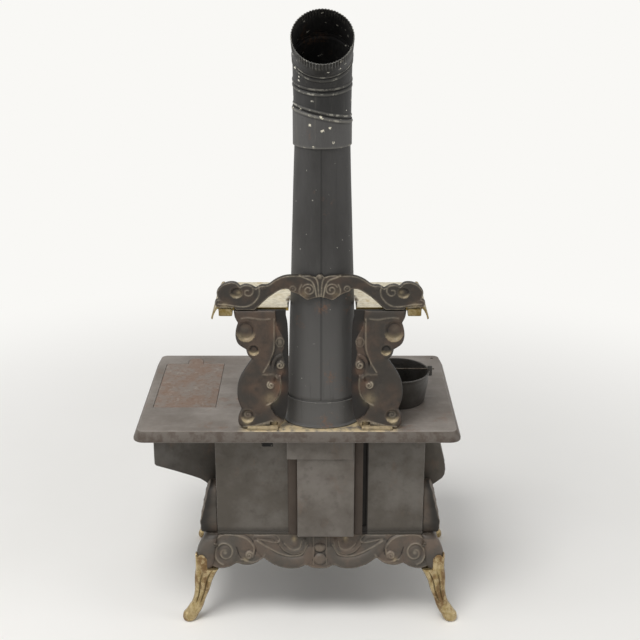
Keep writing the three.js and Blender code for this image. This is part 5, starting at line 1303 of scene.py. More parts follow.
def bracket_relief(places, from_edge):
    """Cups, curls and leaf of a shelf bracket."""
    relief = Relief(places, from_edge, 9, 3.2)
    relief.sink(BRACKET_LOW, 2.2, 2)
    relief.sink(BRACKET_LEAF, 1.6, 5)
    relief.ball(86, 44, 14, 26, 3.6)
    relief.ball(78, 140, 14, 26, 3.4)
    relief.bands(BRACKET_BANDS)
    web = np.clip((bracket_web(places[:, 1]) - places[:, 0]) / 1.4 + 0.5, 0, 1)
    relief.height = relief.height * (1 - web) - 3.6 * web
    # the web beside the pipe is painted black as shade
    relief.dark = 0.95 * web * np.clip(places[:, 1] / 14, 0, 1)
    relief.thread(((60.6, 160), (60.9, 138), (61.8, 116), (67.6, 99), (76, 84)), 0.42)
    relief.thread(((76, 80.5), (70, 80), (63, 80.6), (58, 76)), 0.22, 1.4)
    relief.thread(((52.8, 74), (53, 60), (56, 48), (63, 39.6), (72, 35.4)), 0.45)
    relief.thread(((104, 160.5), (97, 161.6), (89.4, 161), (76.3, 159), (66, 160)), 0.25, 1.2, 1)
    relief.ball(53.4, 126.4, 4, 6.4, 2.4, 0.25)
    relief.line_at(np.abs(np.hypot((places[:, 0] - 53.4) / 0.8, places[:, 1] - 126.4) - 6.4), 0.3)
    relief.groove(((60, 80), (60.6, 74), (62, 69)), 1.6, 1.8)
    relief.ball(53.6, 93.5, 6, 6.6, 2.4)
    relief.curl((53.6, 93.5), 5.4, 1.6, 1.3, 100, 1, 0.6, 1.1, 1.3)
    relief.ball(66.5, 64.6, 6.4, 6.8, 2.2)
    relief.curl((66.5, 64.6), 5, 1.2, 1.4, 60, -1, 0.85, 1.1, 1.3)
    relief.cup(98.6, 142.6, 13, 15, 5.6, 0.42, 0.25, 0, 1.6)
    relief.ball(100, 146, 6, 6.4, 0.9, 0.1)
    relief.cup(88.6, 115.6, 7.2, 7.6, 3.6, 0.6, 0.3, 0.05, 1.4)
    relief.cup(98.6, 19.4, 9.4, 9.8, 3.2, 0.62, 0.3, 0.05, 1.4)
    relief.curl((98.2, 20.4), 5.6, 1.2, 1.2, 120, -1, 0.35, 1.1, 1.0)
    relief.band(((103, 3.6), (90, 5), (76, 9), (66, 12.4)), 2.2, 3.6)
    foot = distance_to(places, BRACKET_FOOT)
    relief.glint = np.maximum(relief.glint, 0.8 * np.clip(1.3 - foot / 2, 0, 1))
    for x, y, reach, amount, rusty in BRACKET_PATCHES:
        relief.patch(x, y, reach, amount, rusty)
    # the bay round the bolt is sunk and painted as shade
    away = np.maximum(np.abs(places[:, 0] - BOLT_X) - 4.2, places[:, 1] - 9.8)
    bay = np.clip(1 - away / 1.2, 0, 1)
    relief.height = relief.height * (1 - bay) - 3.4 * bay
    relief.dark = np.maximum(relief.dark * (1 - bay), 0.5 * bay)
    return relief


def make_brackets():
    """Two scrolled shelf brackets with cups, curls and a bolted foot."""
    for node, side in (("shelf_bracket_right", 1), ("shelf_bracket_left", -1)):
        low, high = size_of(node)
        rise = size_of("crest")[0][2] - 0.3 - low[2]
        reach = abs((high[0] if side > 0 else low[0]) - CENTRE_X) / 1.01
        runs = [smooth_line([(u * reach, v * rise) for u, v in run], 8)[:-1] for run in BRACKET_RUNS]
        back = size_of("crest")[1][1]

        def modelled(points, from_edge, scale=(reach / BRACKET_DRAWN[0], rise / BRACKET_DRAWN[1])):
            return bracket_relief(points / scale, from_edge)

        points, marks, skin = two_faced(np.vstack(runs), modelled, BRACKET_SUNK, BRACKET_DEEP)
        across, up, out = points.T
        placed = np.column_stack([CENTRE_X + side * across, back + out, low[2] + up])
        top = rise - 2.9 + low[2]
        shoulder = (placed[:, 1] < size_of("shelf")[1][1] - 10) & (placed[:, 2] > top)
        placed[shoulder, 2] = top
        pad_near, pad_far, pad_back, pad_rise = BRACKET_PAD
        near = (CENTRE_X + side * pad_near, low[1], low[2])
        far = (CENTRE_X + side * pad_far, back + pad_back, low[2] + pad_rise)
        placed, skin, count = stacked([(placed, skin), eased_box(near, far, 1)])
        pad = np.ones(count - len(points))
        marks = {key: np.append(value, pad * (0.7 if key == "dust_and_light" else 0)) for key, value in marks.items()}
        new_piece(f"scrolled_{node}", placed, skin, "scroll_iron", STOVE, (node,), marks=marks)


def two_faced(outline, modelled, sunk, depth):
    """A flat casting with the same relief on both faces: across, up and out, its marks and its faces."""
    points, skin, _, relief = modelled_face(outline, modelled, sunk)
    front = np.column_stack([points, relief.height])
    behind = np.column_stack([points, -depth - relief.height])
    marks = {key: np.tile(value, 2) for key, value in relief.marks().items()}
    return np.vstack([front, behind]), marks, skin


def eased_box(first, second, ease):
    """Points and faces of a block with chamfered edges."""
    low, high = np.minimum(first, second), np.maximum(first, second)
    rings = []
    for z, grow in ((low[2], ease), (low[2] + ease, 0), (high[2] - ease, 0), (high[2], ease)):
        x0, y0, x1, y1 = low[0] + grow, low[1] + grow, high[0] - grow, high[1] - grow
        ring = []
        slant = ease * 0.7
        for x, y, dx, dy in ((x1, y1, -1, 0), (x1, y1, 0, -1), (x1, y0, 0, 1), (x1, y0, -1, 0),
                             (x0, y0, 1, 0), (x0, y0, 0, 1), (x0, y1, 0, -1), (x0, y1, 1, 0)):
            ring.append((x + dx * slant, y + dy * slant, z))
        rings.append(np.array(ring))
    return ring_skin(rings)


def crest_relief(places, from_edge):
    """Lobes, stems and palmette of the crest."""
    relief = Relief(places, from_edge, 6, 2.3)
    relief.ball(113, 26, 22, 20, 1.4)
    relief.cup(110, 24.4, 8, 7.4, 3.2, 0.5, 0.2, 0.05, 1.3)
    # a painted highlight in the big cup, in the dust's colour
    relief.patch(106.6, 24.4, 3.4, 0.5)
    relief.ball(74.5, 31.7, 4.6, 4.4, 2.8, 0.1)
    relief.ball(131, 12, 4, 3.6, 2.4)
    relief.line_at(np.abs(np.hypot(places[:, 0] - 35.7, places[:, 1] - 30.2) - 3.6), 0.5)
    relief.ball(35.7, 30.2, 2.2, 2.2, 2.4, 0.2)
    relief.curl((15, 28.6), 8.6, 2, 1.5, 30, 1, 0.65)
    relief.threads(CREST_THREADS)
    # a rim bead with a painted highlight along the edge
    relief.line_at(np.abs(from_edge - 1.1), 0.5, 0.7, 0.6)
    relief.ball(0, 46.5, 3.6, 3.6, 2.6, 0.5)
    relief.patch(21, 22, 6, 0.25)
    relief.patch(0, 14, 4, 0.6)
    relief.patch(126, 5, 5, 0.55)
    return relief


def make_crest():
    """The pierced crest behind the shelf, with cups, curls and a saddle for the pipe."""
    casting = Casting("crest", (1, 1), 0.9)
    low = size_of("crest")[0]
    wide = half_of("pipe_collar")[0] - 3

    def modelled(points, from_edge):
        return crest_relief(mirrored(points, CENTRE_X, low[2]), from_edge)

    def saddle(points, from_edge):
        across = np.clip(1 - ((points[:, 0] - PIPE_X) / wide) ** 2, 0, 1)
        reach = PIPE_Y + 37.2 * np.sqrt(across) - low[1]
        return -np.clip(reach, 0, None)

    looks = ("crest_iron", "dark_iron", "crest")
    relief_piece("scrolled_crest", casting, modelled, CREST_SUNK, CREST_DEEP, *looks, back=saddle)


# Stovepipe


COLLAR_FOOT = (
    # up from the foot and outward from its edge
    (0, 0), (0.6, 0.25), (1.6, 0.25), (2.3, -1), (2.8, -3.3), (4, -4),
)
COLLAR_TOP = (
    # down from the top and outward from the foot's edge
    (1.4, -4), (0.5, -3.8), (0.1, -4.1), (0.2, -4.9),
)
COLLAR_RUBBED = (0.4, 0.8, 0.3, 0, 0, 0, 0, 0.9, 0.9, 0, 0)
COLLAR_INNER = -4.9
COLLAR_ROOM = 0.3
PIPE_SIDES = 160
PIPE_WALL = 1.05
PIPE_FOOT_LESS = 4
PIPE_TOP_LESS = 1.7


def make_collar():
    """The oval pipe collar with a rolled foot."""
    low, high = size_of("pipe_collar")
    tall = high[2] - low[2]
    middle_x, middle_y, _ = middle_of("pipe_collar")
    rings = []
    for up, grow in (*COLLAR_FOOT, *((tall - down, grow) for down, grow in COLLAR_TOP), (0, COLLAR_INNER)):
        half = half_of("pipe_collar") + grow - COLLAR_ROOM
        rings.append(oval(middle_x, middle_y, low[2] + up, half[0], half[1], PIPE_SIDES))
    points, faces = ring_skin(rings, closed=True)
    marks = {"hollow": np.zeros(len(points)), "crown": np.repeat(COLLAR_RUBBED, PIPE_SIDES)}
    new_piece("oval_collar", points, faces, "pipe_sheet", STOVE, ("pipe_collar",), marks=marks)


def make_pipe():
    """The pipe: oval at its foot and round at its top, with a long seam and shallow dents."""
    foot, collar_top = size_of("pipe_collar")[0][2], size_of("pipe_collar")[1][2]
    middle_x, middle_y, _ = middle_of("pipe_collar")
    base, top = size_of("pipe")[0][2], size_of("pipe")[1][2]
    taper_top = size_of("elbow_collar")[0][2]
    low_half = half_of("pipe_collar")[:2] - PIPE_FOOT_LESS
    top_radius = half_of("elbow_collar")[0] - PIPE_TOP_LESS
    start = collar_top - foot
    levels = [0.2, start - 1, start, start + 0.6, start + 1.6]
    levels += list(np.linspace(start + 6, taper_top - base, 40)) + [top - base - 0.5, top - base]
    outer = []
    inner = []
    seam = []
    blank = np.zeros(PIPE_SIDES)
    angle = 2 * math.pi * np.arange(PIPE_SIDES) / PIPE_SIDES
    outward = np.column_stack([np.cos(angle), np.sin(angle), blank])
    for level in levels:
        share = min(max((level + base - foot) / (taper_top - foot), 0), 1)
        half = low_half + (top_radius - low_half) * share
        tucked = -1.5 if level <= start else (-1.1 if level < start + 1 else -0.15)
        ring = oval(middle_x, middle_y, base + level, half[0] + tucked, half[1] + tucked, PIPE_SIDES)
        if level > start + 1:
            away = (angle - math.pi / 2) * half.mean()
            fold = np.exp(-((away - 1.2) / 1.5) ** 4)
            dents = 0.16 * math.sin(level * 0.05 + 1) * np.sin(angle * 3 + level * 0.011) - 0.16
            ring += outward * (fold * 0.5 + dents)[:, None]
            seam.append(np.exp(-((away + 1) / 0.8) ** 2))
        else:
            seam.append(blank)
        outer.append(ring)
        inner.append(ring - outward * PIPE_WALL)
    points, faces = ring_skin(outer + inner[::-1], closed=True)
    marks = {"hollow": np.concatenate(seam + [blank] * len(inner)), "crown": np.zeros(len(points))}
    new_piece("stovepipe", points, faces, "pipe_sheet", STOVE, ("pipe",), marks=marks)


class Seam:
    """A plane that a piece of the elbow ends in."""

    def __init__(self, centre, back_tilt, left_tilt=0.0):
        back, left = math.radians(back_tilt), math.radians(left_tilt)
        upright = math.cos(left)
        self.centre = np.array(centre, float)
        self.normal = np.array((-math.sin(left), math.sin(back) * upright, math.cos(back) * upright))

    def moved(self, shift):
        """The same plane at another place."""
        other = Seam(self.centre + shift, 0)
        other.normal = self.normal
        return other

    def cut(self, line_points, axis):
        """Moves points along an axis onto the plane."""
        lift = (self.centre - line_points) @ self.normal / (axis @ self.normal)
        return line_points + lift[:, None] * axis


def axis_of(back_tilt):
    """The direction of a piece that leans towards the back."""
    back = math.radians(back_tilt)
    return np.array((0, math.sin(back), math.cos(back)))


ELBOW_SEAMS = (
    # up from the pipe's end along each piece, lean of the piece, tilt of its end to the back and to the left
    (42, 0, 0, 12),
    (38, 0, 13, 0),
    (37, 26, 39, 0),
    (45, 52, 52, 0),
)
COLLAR_RADIUS = half_of("elbow_collar")[0]
ELBOW_RADII = (
    # at the start and at the end of each piece
    (COLLAR_RADIUS, COLLAR_RADIUS),
    (COLLAR_RADIUS - 1.2, 37.7),
    (37.7, 37.7),
    (37.7, 39.3),
)
SEAM_GAP = 0.3


def elbow_piece(name, node, start, end, lean, radii, beads, finish, crimped):
    """A round sheet piece between two seams, with a bead beside each end that has one."""
    axis = axis_of(lean)
    side = np.array((1.0, 0, 0))
    up = np.cross(axis, side)
    sides, rows = (192, 56) if crimped else (144, 40)
    angle = 2 * math.pi * np.arange(sides) / sides
    outward = np.outer(np.cos(angle), side) + np.outer(np.sin(angle), up)
    sizes = bpy.context.scene.range_sizes
    outer = []
    inner = []
    hollow = []
    crown = []
    rim = []
    first = start.cut(start.centre + outward * radii[0], axis)
    last = end.cut(end.centre + outward * radii[1], axis)
    length = (last - first) @ axis
    glint = 0.8 if beads[0] != beads[1] or node == "elbow_gore_1" else 0.4
    for level in np.linspace(0, 1, rows):
        rise = np.zeros(sides)
        seam = np.zeros(sides)
        from_start = level * length
        from_end = (1 - level) * length
        for beaded, away in zip(beads, (from_start, from_end)):
            if beaded:
                rise = np.maximum(rise, sizes.bead * np.exp(-((away - 3.2) / 1.5) ** 2))
                # painted shade at each bead's foot, and a dark line at the seam
                seam = np.maximum(seam, np.exp(-((away - 5.6) / 0.8) ** 2) * 0.6)
                seam = np.maximum(seam, np.exp(-(away / 0.7) ** 2) * 0.9)
        ring = first + level * (last - first) + outward * (rise - 0.12)[:, None]
        bare = np.zeros(sides)
        if crimped:
            bare = 0.9 * np.exp(-(from_end / 1.3) ** 2)
        elif not beads[0]:
            bare = 0.5 * np.exp(-(from_start / 1.6) ** 2)
        outer.append(ring)
        inner.append(ring - outward)
        hollow.append(seam)
        crown.append(np.maximum(np.clip(rise / max(sizes.bead, 0.1) * 1.2 - 0.3, 0, glint), bare))
        rim.append(from_end)
    points, faces = ring_skin(outer + inner[::-1], closed=True)
    blank = [np.zeros(sides)] * rows
    marks = {"hollow": np.concatenate(hollow + blank), "crown": np.concatenate(crown + blank)}
    tree = None
    if crimped:
        marks["round"] = np.tile(angle, 2 * rows)
        marks["from_rim"] = np.concatenate(rim + rim[::-1])
        marks["outward"] = np.tile(outward, (2 * rows, 1))
        values = {
            "Count": float(sizes.crimp_count),
            "Depth": sizes.crimp_depth * MM,
            "Length": sizes.crimp_length,
            "Finish": finish_of("elbow_sheet"),
        }
        tree = (crimp_tree(), values)
    return new_piece(name, points, faces, finish, node, (node,), marks, tree)


def make_elbow():
    """The adjustable elbow: four sheet pieces that meet in beaded seams, and a crimped mouth."""
    base = np.array((PIPE_X, PIPE_Y, size_of("elbow_collar")[0][2]))
    start = Seam(base, 0)
    names = ("elbow_collar", "elbow_gore_1", "elbow_gore_2", "elbow_end")
    for index, (node, (run, lean, tilt, left)) in enumerate(zip(names, ELBOW_SEAMS)):
        axis = axis_of(lean)
        end = Seam(start.centre + axis * run, tilt, left)
        beads = (index > 0, index < 3)
        finish = "collar_sheet" if index == 0 else "elbow_sheet"
        seams = (start.moved(axis * SEAM_GAP), end.moved(axis * -SEAM_GAP))
        elbow_piece(f"sheet_{node}", node, *seams, lean, ELBOW_RADII[index], beads, finish, index == 3)
        start = end


# Kettle


KETTLE_PROFILE = (
    # up, radius and how far it is rubbed: along the outside, over the rim and down the inside
    (0, 2, 0), (0, 30, 0), (0, 39.6, 0), (0.4, 40.8, 0), (1.6, 41.2, 0), (14, 43.4, 0), (28, 45.6, 0),
    (38, 46.4, 0), (41.6, 46.6, 0), (42.6, 47.2, 0), (43.8, 47.4, 0.9), (44.7, 46.9, 1), (44.9, 45.9, 0.6),
    (44.2, 45, 0.2), (38, 44.4, 0), (28, 43.6, 0), (14, 41.4, 0), (4, 39.4, 0), (2.4, 37.6, 0), (2, 34, 0),
    (2, 2, 0),
)
EAR_OUTLINE = ((4, 37), (4, 44), (3.2, 49.2), (0, 50.9), (-3.2, 49.2), (-4, 44), (-4, 37))
EAR_SEAT = 44.6
WIRE_RADIUS = 1.05
WIRE_ROOM = 1.1


def make_kettle():
    """The open kettle with a rolled rim and two eared lugs."""
    low, high = size_of("kettle")
    middle_x, middle_y, _ = middle_of("kettle")
    base = low[2]
    sides = 128
    rings = [oval(middle_x, middle_y, base + up, radius, radius, sides) for up, radius, _ in KETTLE_PROFILE]
    crown = np.repeat([rubbed for _, _, rubbed in KETTLE_PROFILE], sides)
    shells = [ring_skin(rings)]
    outline = smooth_line(EAR_OUTLINE, 6)
    loop = np.column_stack([np.zeros(len(outline)), middle_y + outline[:, 0], base + outline[:, 1]])
    smaller = loop.copy()
    smaller[:, 1] = middle_y + (loop[:, 1] - middle_y) * 0.86
    smaller[:, 2] = base + 44 + (loop[:, 2] - base - 44) * 0.9
    for sign in (-1, 1):
        inner = middle_x + sign * EAR_SEAT
        outer = high[0] - 0.1 if sign > 0 else low[0] + 0.1
        ear = [loop + (inner, 0, 0), loop + (inner + (outer - inner) * 0.85, 0, 0), smaller + (outer, 0, 0)]
        shells.append(ring_skin(ear))
    points, faces, count = stacked(shells)
    marks = {"crown": np.concatenate([crown, np.zeros(count - len(crown))]), "hollow": np.zeros(count)}
    new_piece("open_kettle", points, faces, "kettle_iron", "kettle", ("kettle",), marks=marks)


def make_bail():
    """The kettle's bail: an arc of wire."""
    low, high = size_of("kettle_bail")
    middle_y = middle_of("kettle")[1]
    half = (high[0] - low[0]) / 2 - WIRE_ROOM
    rise = high[2] - low[2] - 2 * WIRE_ROOM
    radius = (half ** 2 + rise ** 2) / (2 * rise)
    reach = math.asin(half / radius)
    line = []
    for bend in np.linspace(-reach, reach, 49):
        up = radius * math.cos(bend) - radius + rise
        across = low[0] + WIRE_ROOM + half + radius * math.sin(bend)
        line.append((across, middle_y, low[2] + WIRE_ROOM + up))
    points, faces = rod(line, WIRE_RADIUS, 14)
    new_piece("wire_bail", points, faces, "screw_steel", "kettle_bail", ("kettle_bail",))


def stacked(shells):
    """Several shells as one set of points and faces."""
    points = []
    faces = []
    count = 0
    for shell_points, shell_faces in shells:
        faces += [tuple(i + count for i in face) for face in shell_faces]
        points.append(shell_points)
        count += len(shell_points)
    return np.vstack(points), faces, count


# Shelf

SHELF_HALF = 135.0
SHELF_THICK = 5.5
SHELF_BACK = 10.3
SHELF_STEP = 1.15
NOTCH = 44.8
LUG_NEAR, LUG_FAR = 116, 133.9
SHELF_LIP = (
    # outward from the plate's end and up from its top
    (0, 0), (1.6, -0.05), (3.2, -0.9), (5.2, -4), (7.8, -9.4), (9.5, -13.6), (9.9, -15.6), (9.6, -17.3),
    (8.8, -18),
)
SHELF_LIP_BACK = ((7.8, -17), (7.6, -14.6), (5.8, -10.2), (3.2, -5.4), (1.4, -3.2), (-3, -3))
SHELF_THREADS = (
    ((128, 8), (128, 60), (128, 101)),
    ((120, 96), (104, 98), (90, 90), (86, 76), (96, 66), (108, 70), (110, 82), (102, 87), (97, 81)),
    ((86, 70), (74, 60), (60, 58), (50, 50)),
    ((84, 96), (72, 90), (62, 96), (56, 104)),
    ((120, 20), (108, 12), (90, 14), (80, 26), (86, 38), (98, 38), (101, 28), (94, 24)),
    ((78, 22), (60, 16), (40, 20), (20, 14), (0, 18)),
)


def make_shelf():
    """The shelf's plate, with scrolls in relief and a scalloped notch for the pipe."""
    low, high = size_of("shelf")
    top, front, back = high[2], low[1], high[1] - SHELF_BACK
    left, right = CENTRE_X - SHELF_HALF, CENTRE_X + SHELF_HALF
    bearings = np.linspace(0, -math.pi, 40)
    arc = [(PIPE_X + NOTCH * math.cos(a), PIPE_Y + NOTCH * math.sin(a)) for a in bearings]
    corners = [(left, back), (left, front), (right, front), (right, back)]
    outline = np.array(corners + [(PIPE_X + NOTCH, back)] + arc + [(PIPE_X - NOTCH, back)])
    loop = rounded_loop(outline, SHELF_STEP, 50)
    points, faces, rim = filled(loop, SHELF_STEP)
    from_edge = distance_to(points, loop, True)
    from_notch = np.hypot(points[:, 0] - PIPE_X, points[:, 1] - PIPE_Y) - NOTCH
    relief = Relief(mirrored(points, CENTRE_X, front), from_edge, 2.5, 0.4)
    for line in SHELF_THREADS:
        relief.thread(line, 0, 1.3, 0.9)
    relief.line_at(np.abs(from_edge - 2.4), 0, 1.2, 0.5)
    # painted shade: a black scalloped ring round the notch, and darker dips in the relief
    scallop = np.clip(1.5 - from_notch / 4, 0, 1)
    bearing = np.arctan2(points[:, 1] - PIPE_Y, points[:, 0] - PIPE_X)
    flutes = 0.5 + 0.5 * np.cos(bearing * 16)
    height = np.minimum(relief.height - 1.4, HIGHEST) - 1.6 * scallop * flutes
    hollow = hollows(points, faces, height)
    hollow = np.clip(hollow * 1.6 + scallop * (0.7 + 0.3 * flutes), 0, 1)
    upper = np.column_stack([points, top + height])
    lower = np.column_stack([points, np.full(len(points), top - SHELF_THICK)])
    space = np.vstack([upper, lower])
    skin = double_skin(faces, rim, len(points))
    marks = {"hollow": np.concatenate([hollow, hollow * 0])}
    new_piece("shelf_plate", space, skin, "shelf_nickel", STOVE, ("shelf",), marks=marks)


def make_shelf_edges():
    """The rolled lips at the shelf's ends and the lugs under its back."""
    low, high = size_of("shelf")
    top, front, back = high[2], low[1], high[1] - SHELF_BACK
    section = np.vstack([smooth_line(SHELF_LIP, 4), SHELF_LIP_BACK])
    shells = []
    for side in (-1, 1):
        rings = []
        for y, shrink in ((front + 0.2, 0.4), (front + 0.8, 0), (back - 0.6, 0), (back, 0.4)):
            across = CENTRE_X + side * SHELF_HALF + side * (section[:, 0] * (1 - shrink * 0.06))
            rings.append(np.column_stack([across, np.full(len(section), y), top + section[:, 1]]))
        shells.append(ring_skin(rings))
        near = (CENTRE_X + side * LUG_NEAR, back - 5, top - 10)
        far = (CENTRE_X + side * LUG_FAR, high[1] - 0.1, top - 0.2)
        shells.append(eased_box(near, far, 0.9))
    points, faces, count = stacked(shells)
    marks = {"hollow": np.zeros(count)}
    new_piece("shelf_edges", points, faces, "shelf_brass", STOVE, (), marks=marks)


# Plain castings and inner pieces

EASED = (
    # node, finish, body, slot, rounding as a share of the set radius, segments
    ("cooktop", "top_iron", "stove", "cast_iron", 1.0, 3),
    ("back_panel", "body_iron", "stove", "cast_iron", 1.0, 2),
    ("front_panel", "body_iron", "stove", "cast_iron", 0.6, 2),
    ("end_panel_left", "body_iron", "stove", "cast_iron", 0.6, 2),
    ("end_panel_right", "body_iron", "stove", "cast_iron", 0.6, 2),
    ("bottom_plate", "body_iron", "stove", "cast_iron", 0.6, 2),
    ("flue_box", "flue_iron", "stove", "cast_iron", 2.0, 3),
    ("flue_band", "flue_iron", "stove", "cast_iron", 1.6, 3),
    ("reservoir_casing", "casing_iron", "stove", "cast_iron", 1.0, 2),
    ("pouch", "body_iron", "stove", "cast_iron", 1.2, 3),
    ("feed_door", "body_iron", "feed_door", "cast_iron", 0.8, 2),
    ("reservoir_cover", "cover_rust", "reservoir_cover", "rusty_iron", 0.9, 3),
    ("lid_back_left", "kettle_iron", "lid_back_left", "cast_iron", 0.7, 2),
    ("lid_back_right", "lid_iron", "lid_back_right", "cast_iron", 0.7, 2),
    ("lid_front_left", "lid_iron", "lid_front_left", "cast_iron", 0.7, 2),
    ("lid_front_right", "lid_iron", "lid_front_right", "cast_iron", 0.7, 2),
    ("fire_door", "body_iron", "fire_door", "cast_iron", 1.0, 2),
    ("oven_door", "body_iron", "oven_door", "cast_iron", 1.0, 2),
    ("ash_drawer", "body_iron", "ash_drawer", "cast_iron", 0.5, 2),
    ("draft_slide", "grey_iron", "draft_slide", "dark_iron", 0.4, 2),
    ("fire_door_handle", "handle_nickel", "fire_door", "plated_nickel", 0.6, 2),
    ("oven_door_handle", "handle_nickel", "oven_door", "plated_nickel", 0.6, 2),
    ("ash_drawer_knob", "handle_nickel", "ash_drawer", "plated_nickel", 0.6, 2),
    ("bracket_bolt_left", "bolt_iron", "stove", "steel_screw", 0.6, 2),
    ("bracket_bolt_right", "bolt_iron", "stove", "steel_screw", 0.6, 2),
)
CARRIED = {
    "oven_box": "oven_sheet",
    "oven_rack": "screw_steel",
    "firebox_lining": "lining_clay",
    "firebox_side_plate": "grey_iron",
    "firebox_back_plate": "grey_iron",
    "grate": "grey_iron",
    "reservoir_tank": "tank_tin",
    "tie_rod_left": "screw_steel",
    "tie_rod_right": "screw_steel",
}


def make_plain_castings():
    """Plates, doors and boxes with eased edges."""
    radius = bpy.context.scene.range_sizes.edge_round
    for node, finish, body, slot, share, segments in EASED:
        eased_copy(f"eased_{node}", node, finish, body, radius * share, segments)


def paint_inner_pieces():
    """Finishes for the carried-over pieces inside the stove."""
    for node, finish in CARRIED.items():
        paint_node(node, finish)


# Pieces that repeat, by Geometry Nodes


def node_group(name, inputs):
    """An empty geometry tree with its named inputs."""
    group = bpy.data.node_groups.new(name, "GeometryNodeTree")
    group.interface.new_socket("Geometry", in_out="INPUT", socket_type="NodeSocketGeometry")
    group.interface.new_socket("Geometry", in_out="OUTPUT", socket_type="NodeSocketGeometry")
    for label, kind in inputs:
        group.interface.new_socket(label, in_out="INPUT", socket_type=kind)
    return group, group.nodes.new("NodeGroupInput"), group.nodes.new("NodeGroupOutput")


def run_tree(obj, group, values):
    """Evaluates a tree on an object and leaves a plain mesh."""
    modifier = obj.modifiers.new(group.name, "NODES")
    modifier.node_group = group
    for item in group.interface.items_tree:
        if item.item_type == "SOCKET" and item.in_out == "INPUT" and item.name in values:
            modifier[item.identifier] = values[item.name]
    obj.update_tag()
    bpy.context.view_layer.update()
    mesh = bpy.data.meshes.new_from_object(obj.evaluated_get(bpy.context.evaluated_depsgraph_get()))
    obj.modifiers.clear()
    old = obj.data
    obj.data = mesh
    bpy.data.meshes.remove(old)
    return mesh


def chained(tree, source, target, steps):
    """Links the geometry through the steps and, last of all, gives it the finish."""
    real = add_node(tree, "GeometryNodeRealizeInstances")
    paint = add_node(tree, "GeometryNodeSetMaterial", {"Material": source.outputs["Finish"]})
    passed = source
    for step in (*steps, real, paint, target):
        given = "Points" if "Points" in step.inputs else "Geometry"
        made = "Instances" if "Instances" in passed.outputs else "Geometry"
        tree.links.new(passed.outputs[made], step.inputs[given])
        passed = step


def named_value(tree, name, kind="FLOAT"):
    """A value that the mesh carries at each of its points."""
    node = add_node(tree, "GeometryNodeInputNamedAttribute", {"Name": name}, data_type=kind)
    return node.outputs["Attribute"]


def screw_tree():
    """Puts a screw on every point of a mesh."""
    inputs = (("Screw", "NodeSocketObject"), ("Finish", "NodeSocketMaterial"))
    tree, source, target = node_group("Screws on points", inputs)
    screw = add_node(tree, "GeometryNodeObjectInfo", {"Object": source.outputs["Screw"]})
    given = {"Instance": screw.outputs["Geometry"], "Rotation": named_value(tree, "turn", "FLOAT_VECTOR")}
    chained(tree, source, target, (add_node(tree, "GeometryNodeInstanceOnPoints", given),))
    return tree


def crimp_tree():
    """Presses even crimps into the rim of a sheet piece, paints shade in them and highlights on their
    ridges.
    """
    inputs = (
        ("Count", "NodeSocketFloat"),
        ("Depth", "NodeSocketFloat"),
        ("Length", "NodeSocketFloat"),
        ("Finish", "NodeSocketMaterial"),
    )
    tree, source, target = node_group("Crimped rim", inputs)

    def product(*values, clamped=False):
        return maths(tree, "MULTIPLY", *values, clamped=clamped)

    def stored(name, value):
        given = {"Name": name, "Value": value}
        return add_node(tree, "GeometryNodeStoreNamedAttribute", given, data_type="FLOAT")

    wave = maths(tree, "COSINE", product(named_value(tree, "round"), source.outputs["Count"]))
    groove = maths(tree, "POWER", maths(tree, "MULTIPLY_ADD", wave, 0.5, 0.5), 2.0)
    share = maths(tree, "DIVIDE", named_value(tree, "from_rim"), source.outputs["Length"])
    fade = product(maths(tree, "SUBTRACT", 1.0, share, clamped=True), 2.5, clamped=True)
    pressed = product(groove, fade)
    depth = product(product(pressed, source.outputs["Depth"]), -1.0)
    given = {0: named_value(tree, "outward", "FLOAT_VECTOR"), "Scale": depth}
    inward = add_node(tree, "ShaderNodeVectorMath", given, operation="SCALE").outputs["Vector"]
    press = add_node(tree, "GeometryNodeSetPosition", {"Offset": inward})
    # painted shade in the crimps and painted highlights on their ridges
    hollow = product(maths(tree, "MAXIMUM", named_value(tree, "hollow"), pressed), 0.8)
    ridge = product(maths(tree, "SUBTRACT", 1.0, groove, clamped=True), product(fade, 0.35))
    crown = maths(tree, "MAXIMUM", named_value(tree, "crown"), ridge)
    chained(tree, source, target, (press, stored("hollow", hollow), stored("crown", crown)))
    return tree


def screw_shape():
    """A slotted round-headed screw along Y, with its seat at the origin, in metres."""
    low, high = size_of("leg_screw_back_left")
    radius = (high[0] - low[0]) / 2 - 0.02
    length = high[1] - low[1] - 2
    sides = 32
    shank = ((-length, 1.2), (-length + 0.8, 1.9), (-0.01, 1.9))
    head = ((0, 1), (0.8, 1), (1.4, 0.86), (1.8, 0.6), (1.96, 0.25))
    profile = [*shank, *((y, radius * share) for y, share in head)]
    angle = 2 * math.pi * np.arange(sides) / sides
    rings = [np.column_stack([r * np.cos(angle), np.full(sides, y), r * np.sin(angle)]) for y, r in profile]
    points, faces = ring_skin(rings)
    heads = points[:, 1] > 0.7
    slot = heads & (np.abs(points[:, 2]) < radius * 0.2)
    points[slot, 1] = np.minimum(points[slot, 1], 0.9)
    mesh = bpy.data.meshes.new("Leg screw")
    mesh.from_pydata((points * MM).tolist(), [], faces)
    turn_outward(mesh)
    return mesh


